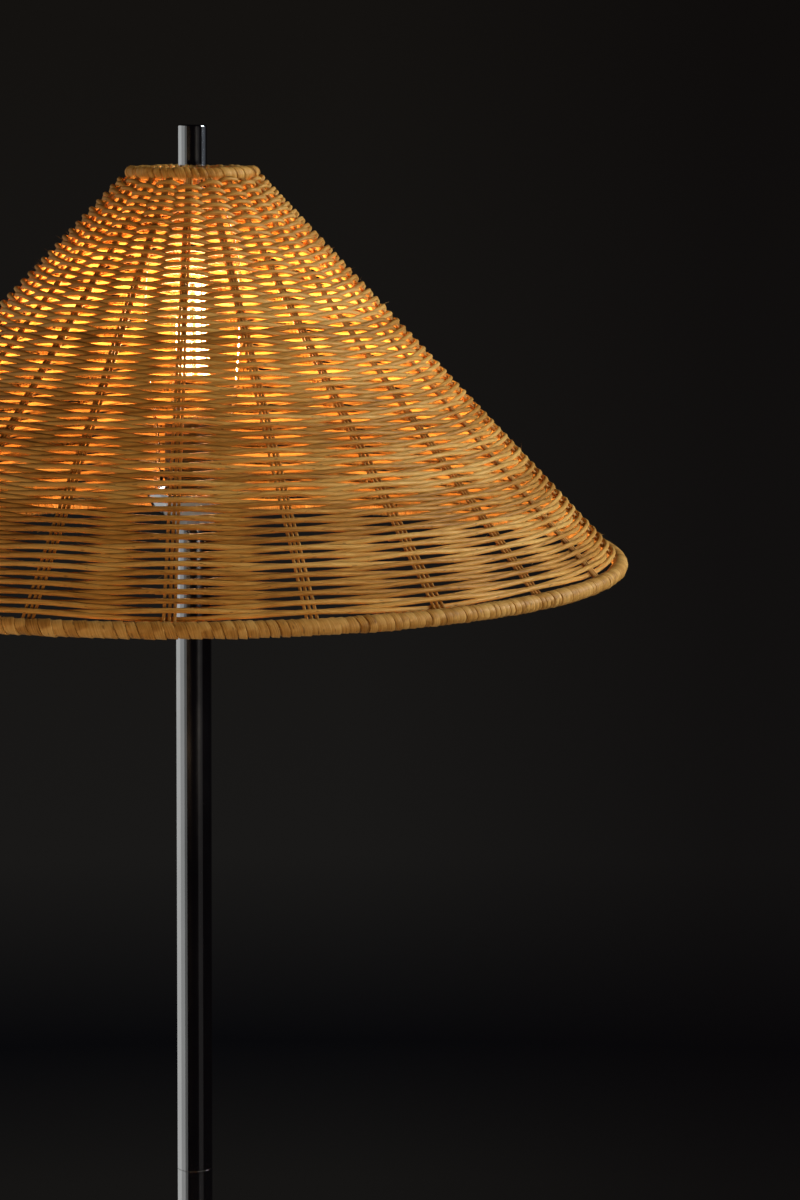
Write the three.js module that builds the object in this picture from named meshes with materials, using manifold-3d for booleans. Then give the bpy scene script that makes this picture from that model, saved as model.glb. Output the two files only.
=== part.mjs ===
// Floor lamp with a woven rattan shade: a weighted disc base, a polished tube in two lengths,
// a cup with the lamp holder, a wire harp over the bulb, and a conical shade clamped by a finial.
// Lengths are in millimetres, +Z is up, and the origin is on the floor under the pole's axis.

import * as THREE from "three";
import { mergeVertices } from "three/addons/utils/BufferGeometryUtils.js";
import Module from "manifold-3d";

const wasm = await Module();
wasm.setup();

// Clearances
const seatGap = 0.3; // between a piece and what it rests on
const boreGap = 0.3; // round a piece in its bore
const cutOverrun = 3; // how far a cutter runs past what it cuts
const mergeTolerance = 1e-4; // corners nearer than this are one corner

// Facets round a turned piece, by size
const shadeFacets = 40;
const baseFacets = 32;
const topRingFacets = 28;
const poleFacets = 24;
const holderFacets = 20;
const smallFacets = 16;
const rodFacets = 5;
const reedFacets = 4;
const arcSteps = 4;

// Base: felt pad, iron weight and spun steel cover
const baseRadius = 150;
const coverWall = 1.2;
const coverEdgeRadius = 4;
const coverDome = 1.6;
const coverFloorGap = 1;
const padThickness = 2;
const padInset = 5;
const padHoleRadius = 30;
const weightThickness = 14;
const weightSideGap = 0.6;
const recessDepth = 9;
const recessMargin = 4;
const channelMargin = 1.5;

// Threaded tubes and what clamps on them
const nippleRadius = 5;
const nippleBoreRadius = 3.5;
const nutAcrossFlats = 17;
const nutThickness = 5;
const lockNutThickness = 3;
const washerRadius = 13;
const washerThickness = 1.5;
const nutEndShow = 1.2; // length of thread that stands past a nut

// Cord outlet at the back of the base
const outletBoreRadius = 2.6;
const outletNeckWall = 1;
const outletFlangeWall = 1.5;
const outletFlangeThickness = 1.2;
const outletHeight = 7;

// Pole: two lengths of tube screwed together
const poleRadius = 12.5;
const poleWall = 1.2;
const lowerPoleLength = 749;
const upperPoleLength = 453.7;
const insertLength = 20;
const nippleGrip = 14; // length of threaded tube inside an insert

// Lamp holder
const holderRadius = 19.5;
const holderWall = 2.2;
const holderCapHeight = 30;
const holderShellHeight = 38;
const holderNeckWall = 3;
const holderNeckHeight = 5;
const holderDomeHeight = 12;
const holderLedgeWidth = 2.3;
const holderLipHeight = 4;
const holderLipGap = 0.5;
const blockHeight = 16;
const blockBelowSplit = 11;
const contactPlateRadius = 4;
const contactPlateThickness = 1;
const threadSleeveWall = 0.5;

// Bulb: clear tube with upright filaments, on a screw cap
const bulbCapRadius = 13.2;
const bulbCapLength = 21.3;
const bulbCapGap = 0.4;
const bulbContactRadius = 4.2;
const bulbContactHeight = 1.6;
const insulatorHeight = 4.5;
const insulatorTopRadius = 11.4;
const insulatorBottomRadius = 6.2;
const glassRadius = 16;
const glassWall = 0.8;
const glassNeckRadius = 12.9;
const glassNeckLength = 6;
const glassShoulderLength = 12;
const glassLength = 110;
const stemFootRadius = 8;
const stemFootHeight = 14;
const stemRodRadius = 1.6;
const filamentCount = 6;
const filamentRadius = 1;
const filamentCircleRadius = 7.5;
const filamentLength = 59;
const filamentStart = 38.5; // height of the lower star above the glass's open end
const starThickness = 0.8;
const starHubWall = 1.2;

// Cup under the lamp holder
const cupWall = 1;
const cupHeight = 26.2;
const cupLip = 0.4; // how far the cup's flat foot stands past the pole
const cupFlare = 3.9; // widening from the belt to the rim
const cupBeltHeight = 13;
const cupRimClearance = 5.2;

// Harp: strip saddle, bent wire, two sliding sleeves and the stud on top
const saddleThickness = 1.5;
const saddleWidth = 9;
const saddleFootInset = 2.5;
const saddlePadWall = 3.5; // round the hole in the strip's middle
const saddleShoulderHeight = 26.7;
const earWidth = 4.4;
const earLength = 6;
const sleeveWall = 0.9;
const sleeveLength = 12;
const sleeveTravel = 8;
const sleeveHolderGap = 0.9;
const harpWireRadius = 1.4;
const harpHeight = 202.3;
const harpBellyWidth = 66;
const harpBellyHeight = 121;
const harpFacets = 6;
const harpSteps = 40;
const studRadius = 3.1;
const studBodyRadius = 6;
const studBodyHeight = 5.4;
const studFlangeRadius = 9;
const studFlangeThickness = 2.7;
const studLength = 14.3;

// Shade: welded wire top, wrapped rings, stakes and the woven skin
const topRingRadius = 41.5;
const topRingWireRadius = 2;
const topRingRise = 0.6; // of the ring's centre over the underside of the hub
const topWrapThickness = 2.2;
const hubRadius = 13;
const hubThickness = 2.6;
const spiderArmCount = 3;
const spiderArmRadius = 1.25;
const shadeHeight = 265.6;
const rimRadius = 300;
const rimCoreRadius = 3.5;
const rimWrapThickness = 2.45;
const stakeCount = 21;
const stakeRadius = 1;
const stakeTopPitchShare = 1.5; // of a rod's radius, between the rods' middles
const stakeRimGap = 1.3;
const stakeRodShares = [-1, 0, 1];
const stakeFirstAngle = THREE.MathUtils.degToRad(1.2);
const strandDiameter = 2.7;
const flatsPerStake = 2; // of the skin: one over the stake and one beside it
const openingRows = 6; // of the grid that stands for the gaps between the strands
const openingHeightShare = 0.3; // of the distance between two rows
const openingWidthShare = 0.45; // of the distance between two stakes

// Finial: turned cylinder with a brass insert
const finialRadius = 10;
const finialLength = 30.2;
const finialChamfer = 0.8;
const insertWall = 2.6;
const finialInsertLength = 18;

// Sizes and heights that follow from the ones above, from the floor up
const weightBottom = padThickness + seatGap;
const weightTop = weightBottom + weightThickness;
const coverTop = weightTop + seatGap + coverWall + coverDome;
const weightRadius = baseRadius - coverWall - weightSideGap;
const recessRadius = washerRadius + recessMargin;
const recessTop = weightBottom + recessDepth;
const baseWasherTop = recessTop - seatGap;
const baseNutTop = baseWasherTop - washerThickness - seatGap;
const baseNippleBottom = baseNutTop - nutThickness - nutEndShow;
const poleBottom = coverTop + seatGap;
const poleJoint = poleBottom + lowerPoleLength;
const upperPoleBottom = poleJoint + seatGap;
const poleTop = upperPoleBottom + upperPoleLength;
const nippleHoleRadius = nippleRadius + boreGap;

const cupBottom = poleTop + seatGap;
const saddleBottom = cupBottom + cupWall + seatGap;
const lockNutBottom = saddleBottom + saddleThickness + seatGap;
const holderBottom = lockNutBottom + lockNutThickness + seatGap;
const holderSplit = holderBottom + holderCapHeight;
const holderShellBottom = holderSplit + seatGap;
const holderTop = holderShellBottom + holderShellHeight;
const holderBoreRadius = holderRadius - holderWall;
const topNippleTop = holderBottom + holderNeckHeight + nutEndShow;
const blockBottom = holderSplit - blockBelowSplit;
const blockTop = blockBottom + blockHeight;
const blockRadius = holderBoreRadius - boreGap;

const bulbContactBottom = blockTop + seatGap + contactPlateThickness + seatGap;
const insulatorBottom = bulbContactBottom + bulbContactHeight + seatGap;
const bulbCapBottom = insulatorBottom + insulatorHeight + seatGap;
const glassBottom = bulbCapBottom + bulbCapLength + seatGap;
const glassTop = glassBottom + glassLength;
const starBottom = glassBottom + filamentStart;
const upperStarBottom = starBottom + starThickness + filamentLength;

const sleeveBoreRadius = Math.hypot(earWidth, saddleThickness) / 2 + boreGap;
const sleeveRadius = sleeveBoreRadius + sleeveWall;
const harpFoot = holderRadius + sleeveHolderGap + sleeveRadius;
const cupFootRadius = poleRadius + cupLip;
const cupRimRadius = harpFoot + sleeveRadius + cupRimClearance;
const cupBeltRadius = cupRimRadius - cupFlare;
const earShoulder = saddleBottom + saddleShoulderHeight;
const earTop = earShoulder + earLength;
const harpBottom = earTop + seatGap;
const harpTop = harpBottom + harpHeight;
const harpBelly = harpBottom + harpBellyHeight;
const sleeveBottom = earShoulder + seatGap;
const studBodyBottom = harpTop - harpWireRadius;
const studFlangeBottom = studBodyBottom + studBodyHeight;
const hubBottom = studFlangeBottom + studFlangeThickness + seatGap;
const hubTop = hubBottom + hubThickness;
const studTop = studFlangeBottom + studFlangeThickness + studLength;

const topRingHeight = hubBottom + topRingRise;
const topWrapRadius = topRingWireRadius + boreGap + topWrapThickness;
const rimWrapRadius = rimCoreRadius + boreGap + rimWrapThickness;
const rimRingRadius = rimRadius - rimWrapRadius;
const slopeRun = rimRingRadius - topRingRadius;
const slopeLength = Math.hypot(slopeRun, shadeHeight);
const skinInside = stakeRadius + boreGap;
const skinOutside = stakeRadius + strandDiameter;

const finialBottom = hubTop + seatGap;
const finialInsertRadius = studRadius + boreGap + insertWall;

// Materials, by the colour and polish of the real ones
const finish = (color, roughness, metalness, more = {}) =>
  new THREE.MeshStandardMaterial({ color, roughness, metalness, ...more });
const chrome = finish(0xc9ccd1, 0.08, 1);
const zincSteel = finish(0x9a9da1, 0.35, 1);
const brass = finish(0xb08d4a, 0.3, 1);
const castIron = finish(0x3b3c3e, 0.75, 0.6);
const felt = finish(0x2a2a2b, 0.95, 0);
const blackRubber = finish(0x1c1c1d, 0.8, 0);
const blackPhenolic = finish(0x161617, 0.35, 0);
const whiteCeramic = finish(0xe9e6df, 0.4, 0);
const blackGlass = finish(0x101012, 0.15, 0);
const clearGlass = finish(0xf4f6f7, 0.05, 0, { transparent: true, opacity: 0.3 });
const glowingFilament = finish(0xffe9b8, 0.6, 0, { emissive: 0xffb45e });
const rattanStrand = finish(0xa5793f, 0.7, 0);
const rattanStake = finish(0x8f6a38, 0.7, 0);
const rattanPeel = finish(0xb2874c, 0.5, 0);

// A turned piece: the closed outline is a list of [radius, height] points, in either direction.
function turned(outline, facets) {
  const area = outline.reduce((sum, [r, z], i) => {
    const [nextR, nextZ] = outline[(i + 1) % outline.length];
    return sum + r * nextZ - nextR * z;
  }, 0);
  const inOrder = area > 0 ? [...outline] : [...outline].reverse();
  const points = inOrder.map(([r, z]) => new THREE.Vector2(r, z));
  const startsOnAxis = points.findIndex((p, i) => p.x === 0 && points.at(i - 1).x === 0);
  if (startsOnAxis >= 0) points.unshift(...points.splice(startsOnAxis));
  else points.push(points[0].clone());
  return new THREE.LatheGeometry(points, facets).rotateX(Math.PI / 2);
}

// A plain ring or, with no inner radius, a disc.
function ring(outerRadius, innerRadius, bottom, top, facets) {
  return turned(
    [
      [innerRadius, bottom],
      [outerRadius, bottom],
      [outerRadius, top],
      [innerRadius, top],
    ],
    facets,
  );
}

// Points of an arc in the turning plane, both ends included.
function arc(centreR, centreZ, radius, fromAngle, toAngle, steps) {
  return Array.from({ length: steps + 1 }, (_, i) => {
    const angle = fromAngle + ((toAngle - fromAngle) * i) / steps;
    return [centreR + radius * Math.cos(angle), centreZ + radius * Math.sin(angle)];
  });
}

// The closed outline of a sheet of even thickness: the line runs along one face, and the other lies
// on its left. An end on the axis stays on it.
function sheetOutline(line, thickness) {
  const offset = line.map(([r, z], i) => {
    const [beforeR, beforeZ] = line[Math.max(i - 1, 0)];
    const [afterR, afterZ] = line[Math.min(i + 1, line.length - 1)];
    const a = new THREE.Vector2(r - beforeR, z - beforeZ).normalize();
    const b = new THREE.Vector2(afterR - r, afterZ - z).normalize();
    const mean = a.clone().add(b).normalize();
    const square = a.length() && b.length() ? mean.dot(b) : 1;
    const shift = thickness / square;
    return [r === 0 ? 0 : r - mean.y * shift, z + mean.x * shift];
  });
  return [...line, ...offset.reverse()];
}

// A straight round rod between two points.
function rod(from, to, radius, facets) {
  const along = to.clone().sub(from);
  const cylinderAxis = new THREE.Vector3(0, 1, 0);
  const turn = new THREE.Quaternion().setFromUnitVectors(cylinderAxis, along.clone().normalize());
  return new THREE.CylinderGeometry(radius, radius, along.length(), facets)
    .applyQuaternion(turn)
    .translate(...from.clone().add(to).multiplyScalar(1 / 2).toArray());
}

// A block given by its lowest and highest corners.
function block(low, high) {
  const size = high.map((value, i) => value - low[i]);
  const middle = high.map((value, i) => (value + low[i]) / 2);
  return new THREE.BoxGeometry(...size).translate(...middle);
}

// A solid that can be joined and cut.
function toSolid(geometry) {
  const bare = geometry.clone();
  bare.deleteAttribute("normal");
  bare.deleteAttribute("uv");
  const merged = mergeVertices(bare, mergeTolerance);
  const corners = Array.from(merged.index.array);
  const triVerts = [];
  for (let i = 0; i < corners.length; i += 3) {
    const [a, b, c] = corners.slice(i, i + 3);
    if (a !== b && b !== c && c !== a) triVerts.push(a, b, c);
  }
  const mesh = new wasm.Mesh({
    numProp: 3,
    vertProperties: merged.attributes.position.array,
    triVerts: new Uint32Array(triVerts),
  });
  return new wasm.Manifold(mesh);
}

// The mesh of a solid, with the triangles of each flat face merged into as few as fill it.
function toGeometry(solid) {
  const { vertProperties, triVerts } = solid.asOriginal().simplify(mergeTolerance).getMesh();
  const geometry = new THREE.BufferGeometry();
  geometry.setAttribute("position", new THREE.BufferAttribute(vertProperties, 3));
  geometry.setIndex(new THREE.BufferAttribute(triVerts, 1));
  const flat = geometry.toNonIndexed();
  flat.computeVertexNormals();
  return flat;
}

const cut = (body, cutters) =>
  toGeometry(cutters.reduce((solid, cutter) => solid.subtract(toSolid(cutter)), toSolid(body)));
const join = (pieces) => toGeometry(pieces.map(toSolid).reduce((solid, piece) => solid.add(piece)));

// Base

function basePad() {
  return ring(weightRadius - padInset, padHoleRadius, 0, padThickness, baseFacets);
}

// The weight has a recess for the nut and a channel for the cord, both open below. Its top edge
// is bevelled to clear the round edge of the cover.
function baseWeight() {
  const body = turned(
    [
      [nippleHoleRadius, weightBottom],
      [weightRadius, weightBottom],
      [weightRadius, weightTop - coverEdgeRadius],
      [weightRadius - coverEdgeRadius, weightTop],
      [nippleHoleRadius, weightTop],
    ],
    baseFacets,
  );
  const recess = ring(recessRadius, 0, weightBottom - cutOverrun, recessTop, smallFacets);
  const channelHalfWidth = outletFlangeRadius() + channelMargin;
  const channelTop = outletHeight + channelHalfWidth;
  const channel = block(
    [-channelHalfWidth, 0, weightBottom - cutOverrun],
    [channelHalfWidth, weightRadius + cutOverrun, channelTop],
  );
  return cut(body, [recess, channel]);
}

// The cover's outline runs up the skirt, round the edge and over the dome; its wall lies inside.
function baseCover() {
  const edgeTop = coverTop - coverDome;
  const centreR = baseRadius - coverEdgeRadius;
  const line = [
    [nippleHoleRadius, coverTop],
    [cupFootRadius, coverTop],
    ...arc(centreR, edgeTop - coverEdgeRadius, coverEdgeRadius, Math.PI / 2, 0, arcSteps),
    [baseRadius, coverFloorGap],
  ].reverse();
  const body = turned(sheetOutline(line, coverWall), baseFacets);
  const holeRadius = outletBoreRadius + outletNeckWall + boreGap;
  const hole = rod(
    new THREE.Vector3(0, baseRadius / 2, outletHeight),
    new THREE.Vector3(0, baseRadius + cutOverrun, outletHeight),
    holeRadius,
    smallFacets,
  );
  return cut(body, [hole]);
}

function outletFlangeRadius() {
  return outletBoreRadius + outletNeckWall + outletFlangeWall;
}

// A rubber bush with a flange on each side of the skirt, turned upright and then laid along Y.
function cordOutlet() {
  const neckRadius = outletBoreRadius + outletNeckWall;
  const flangeRadius = outletFlangeRadius();
  const skirtCurve = baseRadius * (1 - Math.cos(Math.PI / baseFacets));
  const neckEnd = coverWall / 2 + boreGap + skirtCurve;
  const flangeEnd = neckEnd + outletFlangeThickness;
  const outline = [
    [outletBoreRadius, -flangeEnd],
    [flangeRadius, -flangeEnd],
    [flangeRadius, -neckEnd],
    [neckRadius, -neckEnd],
    [neckRadius, neckEnd],
    [flangeRadius, neckEnd],
    [flangeRadius, flangeEnd],
    [outletBoreRadius, flangeEnd],
  ];
  return turned(outline, smallFacets)
    .rotateX(-Math.PI / 2)
    .translate(0, baseRadius - coverWall / 2, outletHeight);
}

// A six-sided nut with a plain hole, lying flat.
function hexNut(acrossFlats, thickness, bottom) {
  const cornerRadius = acrossFlats / 2 / Math.cos(Math.PI / 6);
  const corners = Array.from({ length: 6 }, (_, i) => {
    const angle = (i * Math.PI) / 3;
    return new THREE.Vector2(cornerRadius * Math.cos(angle), cornerRadius * Math.sin(angle));
  });
  const outline = new THREE.Shape(corners);
  outline.holes.push(new THREE.Path().absarc(0, 0, nippleHoleRadius, 0, 2 * Math.PI, true));
  const options = { depth: thickness, bevelEnabled: false, curveSegments: smallFacets };
  return new THREE.ExtrudeGeometry(outline, options).translate(0, 0, bottom);
}

const nipple = (bottom, top) => ring(nippleRadius, nippleBoreRadius, bottom, top, smallFacets);

// A length of tube with a threaded insert welded into each end.
function poleTube(bottom, top) {
  const boreRadius = poleRadius - poleWall;
  return turned(
    [
      [poleRadius, bottom],
      [poleRadius, top],
      [nippleHoleRadius, top],
      [nippleHoleRadius, top - insertLength],
      [boreRadius, top - insertLength],
      [boreRadius, bottom + insertLength],
      [nippleHoleRadius, bottom + insertLength],
      [nippleHoleRadius, bottom],
    ],
    poleFacets,
  );
}

// Cup and saddle

// The cup's outline runs from the foot up a cone to the belt and out to the rim; its wall lies inside.
function holderCup() {
  const belt = new THREE.QuadraticBezierCurve(
    new THREE.Vector2((cupFootRadius + cupBeltRadius) / 2, cupBeltHeight / 2),
    new THREE.Vector2(cupBeltRadius, cupBeltHeight),
    new THREE.Vector2(cupRimRadius, cupHeight),
  );
  const line = [
    [nippleHoleRadius, 0],
    [cupFootRadius, 0],
    ...belt.getPoints(arcSteps).map((p) => [p.x, p.y]),
  ];
  return turned(sheetOutline(line, cupWall), poleFacets).translate(0, 0, cupBottom);
}

// The strip runs level under the nut, rises beside the cup's cone and stands up as two ears.
// Round the hole in its middle it widens to a pad.
function harpSaddle() {
  const slope = cupBeltHeight / (cupBeltRadius - cupFootRadius);
  const bend = cupFootRadius - saddleFootInset;
  const earInside = harpFoot - saddleThickness / 2;
  const earOutside = harpFoot + saddleThickness / 2;
  const rise = (earOutside - bend) * slope;
  const under = [
    [bend, 0],
    [earOutside, rise],
    [earOutside, earTop - saddleBottom],
  ];
  const over = [
    [earInside, earTop - saddleBottom],
    [earInside, rise + saddleThickness],
    [bend, saddleThickness],
  ];
  const half = [...under, ...over];
  const mirrored = half.map(([x, z]) => [-x, z]).reverse();
  const outline = new THREE.Shape([...half, ...mirrored].map(([x, z]) => new THREE.Vector2(x, z)));
  const strip = new THREE.ExtrudeGeometry(outline, { depth: saddleWidth, bevelEnabled: false })
    .translate(0, 0, -saddleWidth / 2)
    .rotateX(Math.PI / 2)
    .translate(0, 0, saddleBottom);
  const pad = ring(
    nippleHoleRadius + saddlePadWall,
    0,
    saddleBottom,
    saddleBottom + saddleThickness,
    smallFacets,
  );
  const holeTop = lockNutBottom + cutOverrun;
  const hole = ring(nippleHoleRadius, 0, saddleBottom - cutOverrun, holeTop, smallFacets);
  const reach = earOutside + cutOverrun;
  const besideEars = [-1, 1].map((side) => {
    const near = (side * earWidth) / 2;
    const far = side * (saddleWidth / 2 + cutOverrun);
    return block(
      [-reach, Math.min(near, far), earShoulder],
      [reach, Math.max(near, far), earTop + cutOverrun],
    );
  });
  return cut(join([strip, pad]), [hole, ...besideEars]);
}

// Lamp holder

// The cap's outline: neck, dome, straight wall, then back down inside over the ledge of the block.
function holderCap() {
  const neckRadius = nippleHoleRadius + holderNeckWall;
  const domeStart = holderBottom + holderNeckHeight;
  const domeRun = holderRadius - neckRadius;
  const dome = Array.from({ length: arcSteps + 1 }, (_, i) => {
    const angle = (i * Math.PI) / 2 / arcSteps;
    return [neckRadius + domeRun * Math.sin(angle), domeStart + holderDomeHeight * (1 - Math.cos(angle))];
  });
  const ledgeRadius = holderBoreRadius - holderLedgeWidth;
  return turned(
    [
      [nippleHoleRadius, holderBottom],
      [neckRadius, holderBottom],
      ...dome,
      [holderRadius, holderSplit],
      [holderBoreRadius, holderSplit],
      [holderBoreRadius, blockBottom - seatGap],
      [ledgeRadius, blockBottom - seatGap],
      [nippleHoleRadius, domeStart],
    ],
    holderFacets,
  );
}

function holderShell() {
  const lipRadius = bulbCapRadius + bulbCapGap + threadSleeveWall + holderLipGap;
  const lipBottom = holderTop - holderLipHeight;
  return turned(
    [
      [holderBoreRadius, holderShellBottom],
      [holderRadius, holderShellBottom],
      [holderRadius, holderTop],
      [lipRadius, holderTop],
      [lipRadius, lipBottom],
      [holderBoreRadius, lipBottom],
    ],
    holderFacets,
  );
}

const terminalBlock = () => ring(blockRadius, 0, blockBottom, blockTop, holderFacets);

function contactPlate() {
  const bottom = blockTop + seatGap;
  return ring(contactPlateRadius, 0, bottom, bottom + contactPlateThickness, smallFacets);
}

function threadSleeve() {
  const inside = bulbCapRadius + bulbCapGap;
  const bottom = blockTop + seatGap;
  const top = holderTop - holderLipHeight - seatGap;
  return ring(inside + threadSleeveWall, inside, bottom, top, holderFacets);
}

// Bulb

function bulbContact() {
  return ring(bulbContactRadius, 0, bulbContactBottom, bulbContactBottom + bulbContactHeight, smallFacets);
}

function bulbInsulator() {
  const top = insulatorBottom + insulatorHeight;
  return turned(
    [
      [0, insulatorBottom],
      [insulatorBottomRadius, insulatorBottom],
      [insulatorTopRadius, top],
      [0, top],
    ],
    smallFacets,
  );
}

const bulbCap = () => ring(bulbCapRadius, 0, bulbCapBottom, bulbCapBottom + bulbCapLength, holderFacets);

// The glass is one thin wall, open at the neck: neck, shoulder, straight tube and round end.
function bulbGlass() {
  const domeStart = glassTop - glassRadius;
  const shoulder = new THREE.CubicBezierCurve(
    new THREE.Vector2(glassNeckRadius, glassBottom + glassNeckLength),
    new THREE.Vector2(glassNeckRadius, glassBottom + glassNeckLength + glassShoulderLength / 2),
    new THREE.Vector2(glassRadius, glassBottom + glassNeckLength + glassShoulderLength / 2),
    new THREE.Vector2(glassRadius, glassBottom + glassNeckLength + glassShoulderLength),
  );
  const dome = arc(0, domeStart, glassRadius, 0, Math.PI / 2, arcSteps);
  dome[arcSteps][0] = 0;
  const line = [
    [glassNeckRadius, glassBottom],
    ...shoulder.getPoints(arcSteps).map((p) => [p.x, p.y]),
    ...dome,
  ];
  return turned(sheetOutline(line, glassWall), smallFacets);
}

// The glass stem: a flared foot, drawn out to the rod that carries both stars.
function bulbStem() {
  const top = upperStarBottom + starThickness + seatGap;
  const foot = Array.from({ length: arcSteps + 1 }, (_, i) => {
    const angle = (i * Math.PI) / 2 / arcSteps;
    const radius = stemRodRadius + (stemFootRadius - stemRodRadius) * (1 - Math.sin(angle));
    return [radius, glassBottom + seatGap + stemFootHeight * (1 - Math.cos(angle))];
  });
  return turned([[0, glassBottom + seatGap], ...foot, [stemRodRadius, top], [0, top]], smallFacets);
}

// Upright filaments welded between two wire stars, which clamp on the stem's rod.
function filamentCage() {
  const holeRadius = stemRodRadius + boreGap;
  const armStart = holeRadius + starHubWall / 2;
  const armEnd = filamentCircleRadius + filamentRadius;
  const top = upperStarBottom + starThickness;
  const pieces = [starBottom, upperStarBottom].map((bottom) =>
    ring(holeRadius + starHubWall, holeRadius, bottom, bottom + starThickness, 2 * rodFacets),
  );
  for (let i = 0; i < filamentCount; i += 1) {
    const angle = (i * 2 * Math.PI) / filamentCount;
    const upright = ring(filamentRadius, 0, starBottom, top, rodFacets);
    upright.translate(filamentCircleRadius, 0, 0);
    const arms = [starBottom, upperStarBottom].map((bottom) =>
      block([armStart, -starThickness / 2, bottom], [armEnd, starThickness / 2, bottom + starThickness]),
    );
    pieces.push(...[upright, ...arms].map((piece) => piece.rotateZ(angle)));
  }
  return join(pieces);
}

// Harp

// One side of the wire: a straight foot for the sleeve, a bend out to the belly and an oval top.
function harpSide(side) {
  const at = (x, z) => new THREE.Vector3(side * x, 0, z);
  const straightTop = sleeveBottom + sleeveLength + sleeveTravel;
  const belly = harpBellyWidth / 2;
  const pull = (harpBelly - straightTop) / 3;
  const roundShare = 0.5523;
  const crown = harpTop - harpBelly;
  return [
    new THREE.LineCurve3(at(harpFoot, harpBottom), at(harpFoot, straightTop)),
    new THREE.CubicBezierCurve3(
      at(harpFoot, straightTop),
      at(harpFoot, straightTop + pull),
      at(belly, harpBelly - 2 * pull),
      at(belly, harpBelly),
    ),
    new THREE.CubicBezierCurve3(
      at(belly, harpBelly),
      at(belly, harpBelly + roundShare * crown),
      at(roundShare * belly, harpTop),
      at(0, harpTop),
    ),
  ];
}

function backwards(curve) {
  if (curve.isLineCurve3) return new THREE.LineCurve3(curve.v2, curve.v1);
  return new THREE.CubicBezierCurve3(curve.v3, curve.v2, curve.v1, curve.v0);
}

function harpWire() {
  const path = new THREE.CurvePath();
  path.curves = [...harpSide(-1), ...harpSide(1).map(backwards).reverse()];
  const section = new THREE.Shape(
    Array.from({ length: harpFacets }, (_, i) => {
      const angle = (i * 2 * Math.PI) / harpFacets;
      return new THREE.Vector2(harpWireRadius * Math.cos(angle), harpWireRadius * Math.sin(angle));
    }),
  );
  return new THREE.ExtrudeGeometry(section, { steps: harpSteps, extrudePath: path, bevelEnabled: false });
}

const harpSleeve = (side) =>
  ring(sleeveRadius, sleeveBoreRadius, sleeveBottom, sleeveBottom + sleeveLength, smallFacets).translate(
    side * harpFoot,
    0,
    0,
  );

// The stud's body straddles the top of the wire; its flange carries the shade's hub.
function harpStud() {
  const flangeTop = studFlangeBottom + studFlangeThickness;
  const body = turned(
    [
      [0, studBodyBottom],
      [studBodyRadius, studBodyBottom],
      [studBodyRadius, studFlangeBottom],
      [studFlangeRadius, studFlangeBottom],
      [studFlangeRadius, flangeTop],
      [studRadius, flangeTop],
      [studRadius, studTop],
      [0, studTop],
    ],
    smallFacets,
  );
  const halfSlot = harpWireRadius + boreGap;
  const reach = studFlangeRadius + cutOverrun;
  const slotBottom = studBodyBottom - cutOverrun;
  const slot = block([-reach, -halfSlot, slotBottom], [reach, halfSlot, harpTop + halfSlot]);
  return cut(body, [slot]);
}

// Shade

// A point beside the sloping line from the top ring's centre to the rim's centre: how far down
// the slope, and how far out of it.
function onSlope(along, out) {
  const run = (along * slopeRun + out * shadeHeight) / slopeLength;
  const drop = (along * shadeHeight - out * slopeRun) / slopeLength;
  return [topRingRadius + run, topRingHeight - drop];
}

// The welded top: hub, arms and ring.
function spider() {
  const hub = ring(hubRadius, studRadius + boreGap, hubBottom, hubTop, smallFacets);
  const hubMiddle = hubBottom + hubThickness / 2;
  const arms = Array.from({ length: spiderArmCount }, (_, i) =>
    rod(
      new THREE.Vector3(hubRadius - hubThickness, 0, hubMiddle),
      new THREE.Vector3(topRingRadius, 0, topRingHeight),
      spiderArmRadius,
      rodFacets + 1,
    ).rotateZ(((i + 1 / 4) * 2 * Math.PI) / spiderArmCount),
  );
  const ringOutline = arc(topRingRadius, topRingHeight, topRingWireRadius, 0, 2 * Math.PI, rodFacets + 1);
  const wireRing = turned(ringOutline.slice(0, -1), topRingFacets);
  return join([hub, ...arms, wireRing]);
}

// A wrapped roll round a ring, with a slit that faces one way. The flats of its inside clear the ring.
function wrap(centreR, centreZ, coreRadius, thickness, slitAngle, halfSlit, facets) {
  const inside = coreRadius + boreGap;
  const from = slitAngle + halfSlit;
  const to = slitAngle + 2 * Math.PI - halfSlit;
  const outer = arc(centreR, centreZ, inside + thickness, from, to, 2 * arcSteps);
  const innerSteps = arcSteps;
  const innerRadius = inside / Math.cos((to - from) / innerSteps / 2);
  const inner = arc(centreR, centreZ, innerRadius, to, from, innerSteps);
  return turned([...outer, ...inner], facets);
}

function topWrap() {
  const armRise = topRingHeight - (hubBottom + hubThickness / 2);
  const armAngle = Math.atan2(-armRise, -(topRingRadius - hubRadius + hubThickness));
  const halfSlit = Math.asin((spiderArmRadius + boreGap) / topRingWireRadius) + boreGap / topRingWireRadius;
  return wrap(
    topRingRadius,
    topRingHeight,
    topRingWireRadius,
    topWrapThickness,
    armAngle,
    halfSlit,
    topRingFacets,
  );
}

const rimHeight = topRingHeight - shadeHeight;

function rimCore() {
  const outline = arc(rimRingRadius, rimHeight, rimCoreRadius, 0, 2 * Math.PI, rodFacets);
  return turned(outline.slice(0, -1), shadeFacets);
}

function rimWrap() {
  const slitAngle = Math.atan2(shadeHeight, -slopeRun);
  const halfSlit = Math.asin((stakeRadius + boreGap) / rimCoreRadius) + boreGap / rimCoreRadius;
  return wrap(rimRingRadius, rimHeight, rimCoreRadius, rimWrapThickness, slitAngle, halfSlit, shadeFacets);
}

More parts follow.
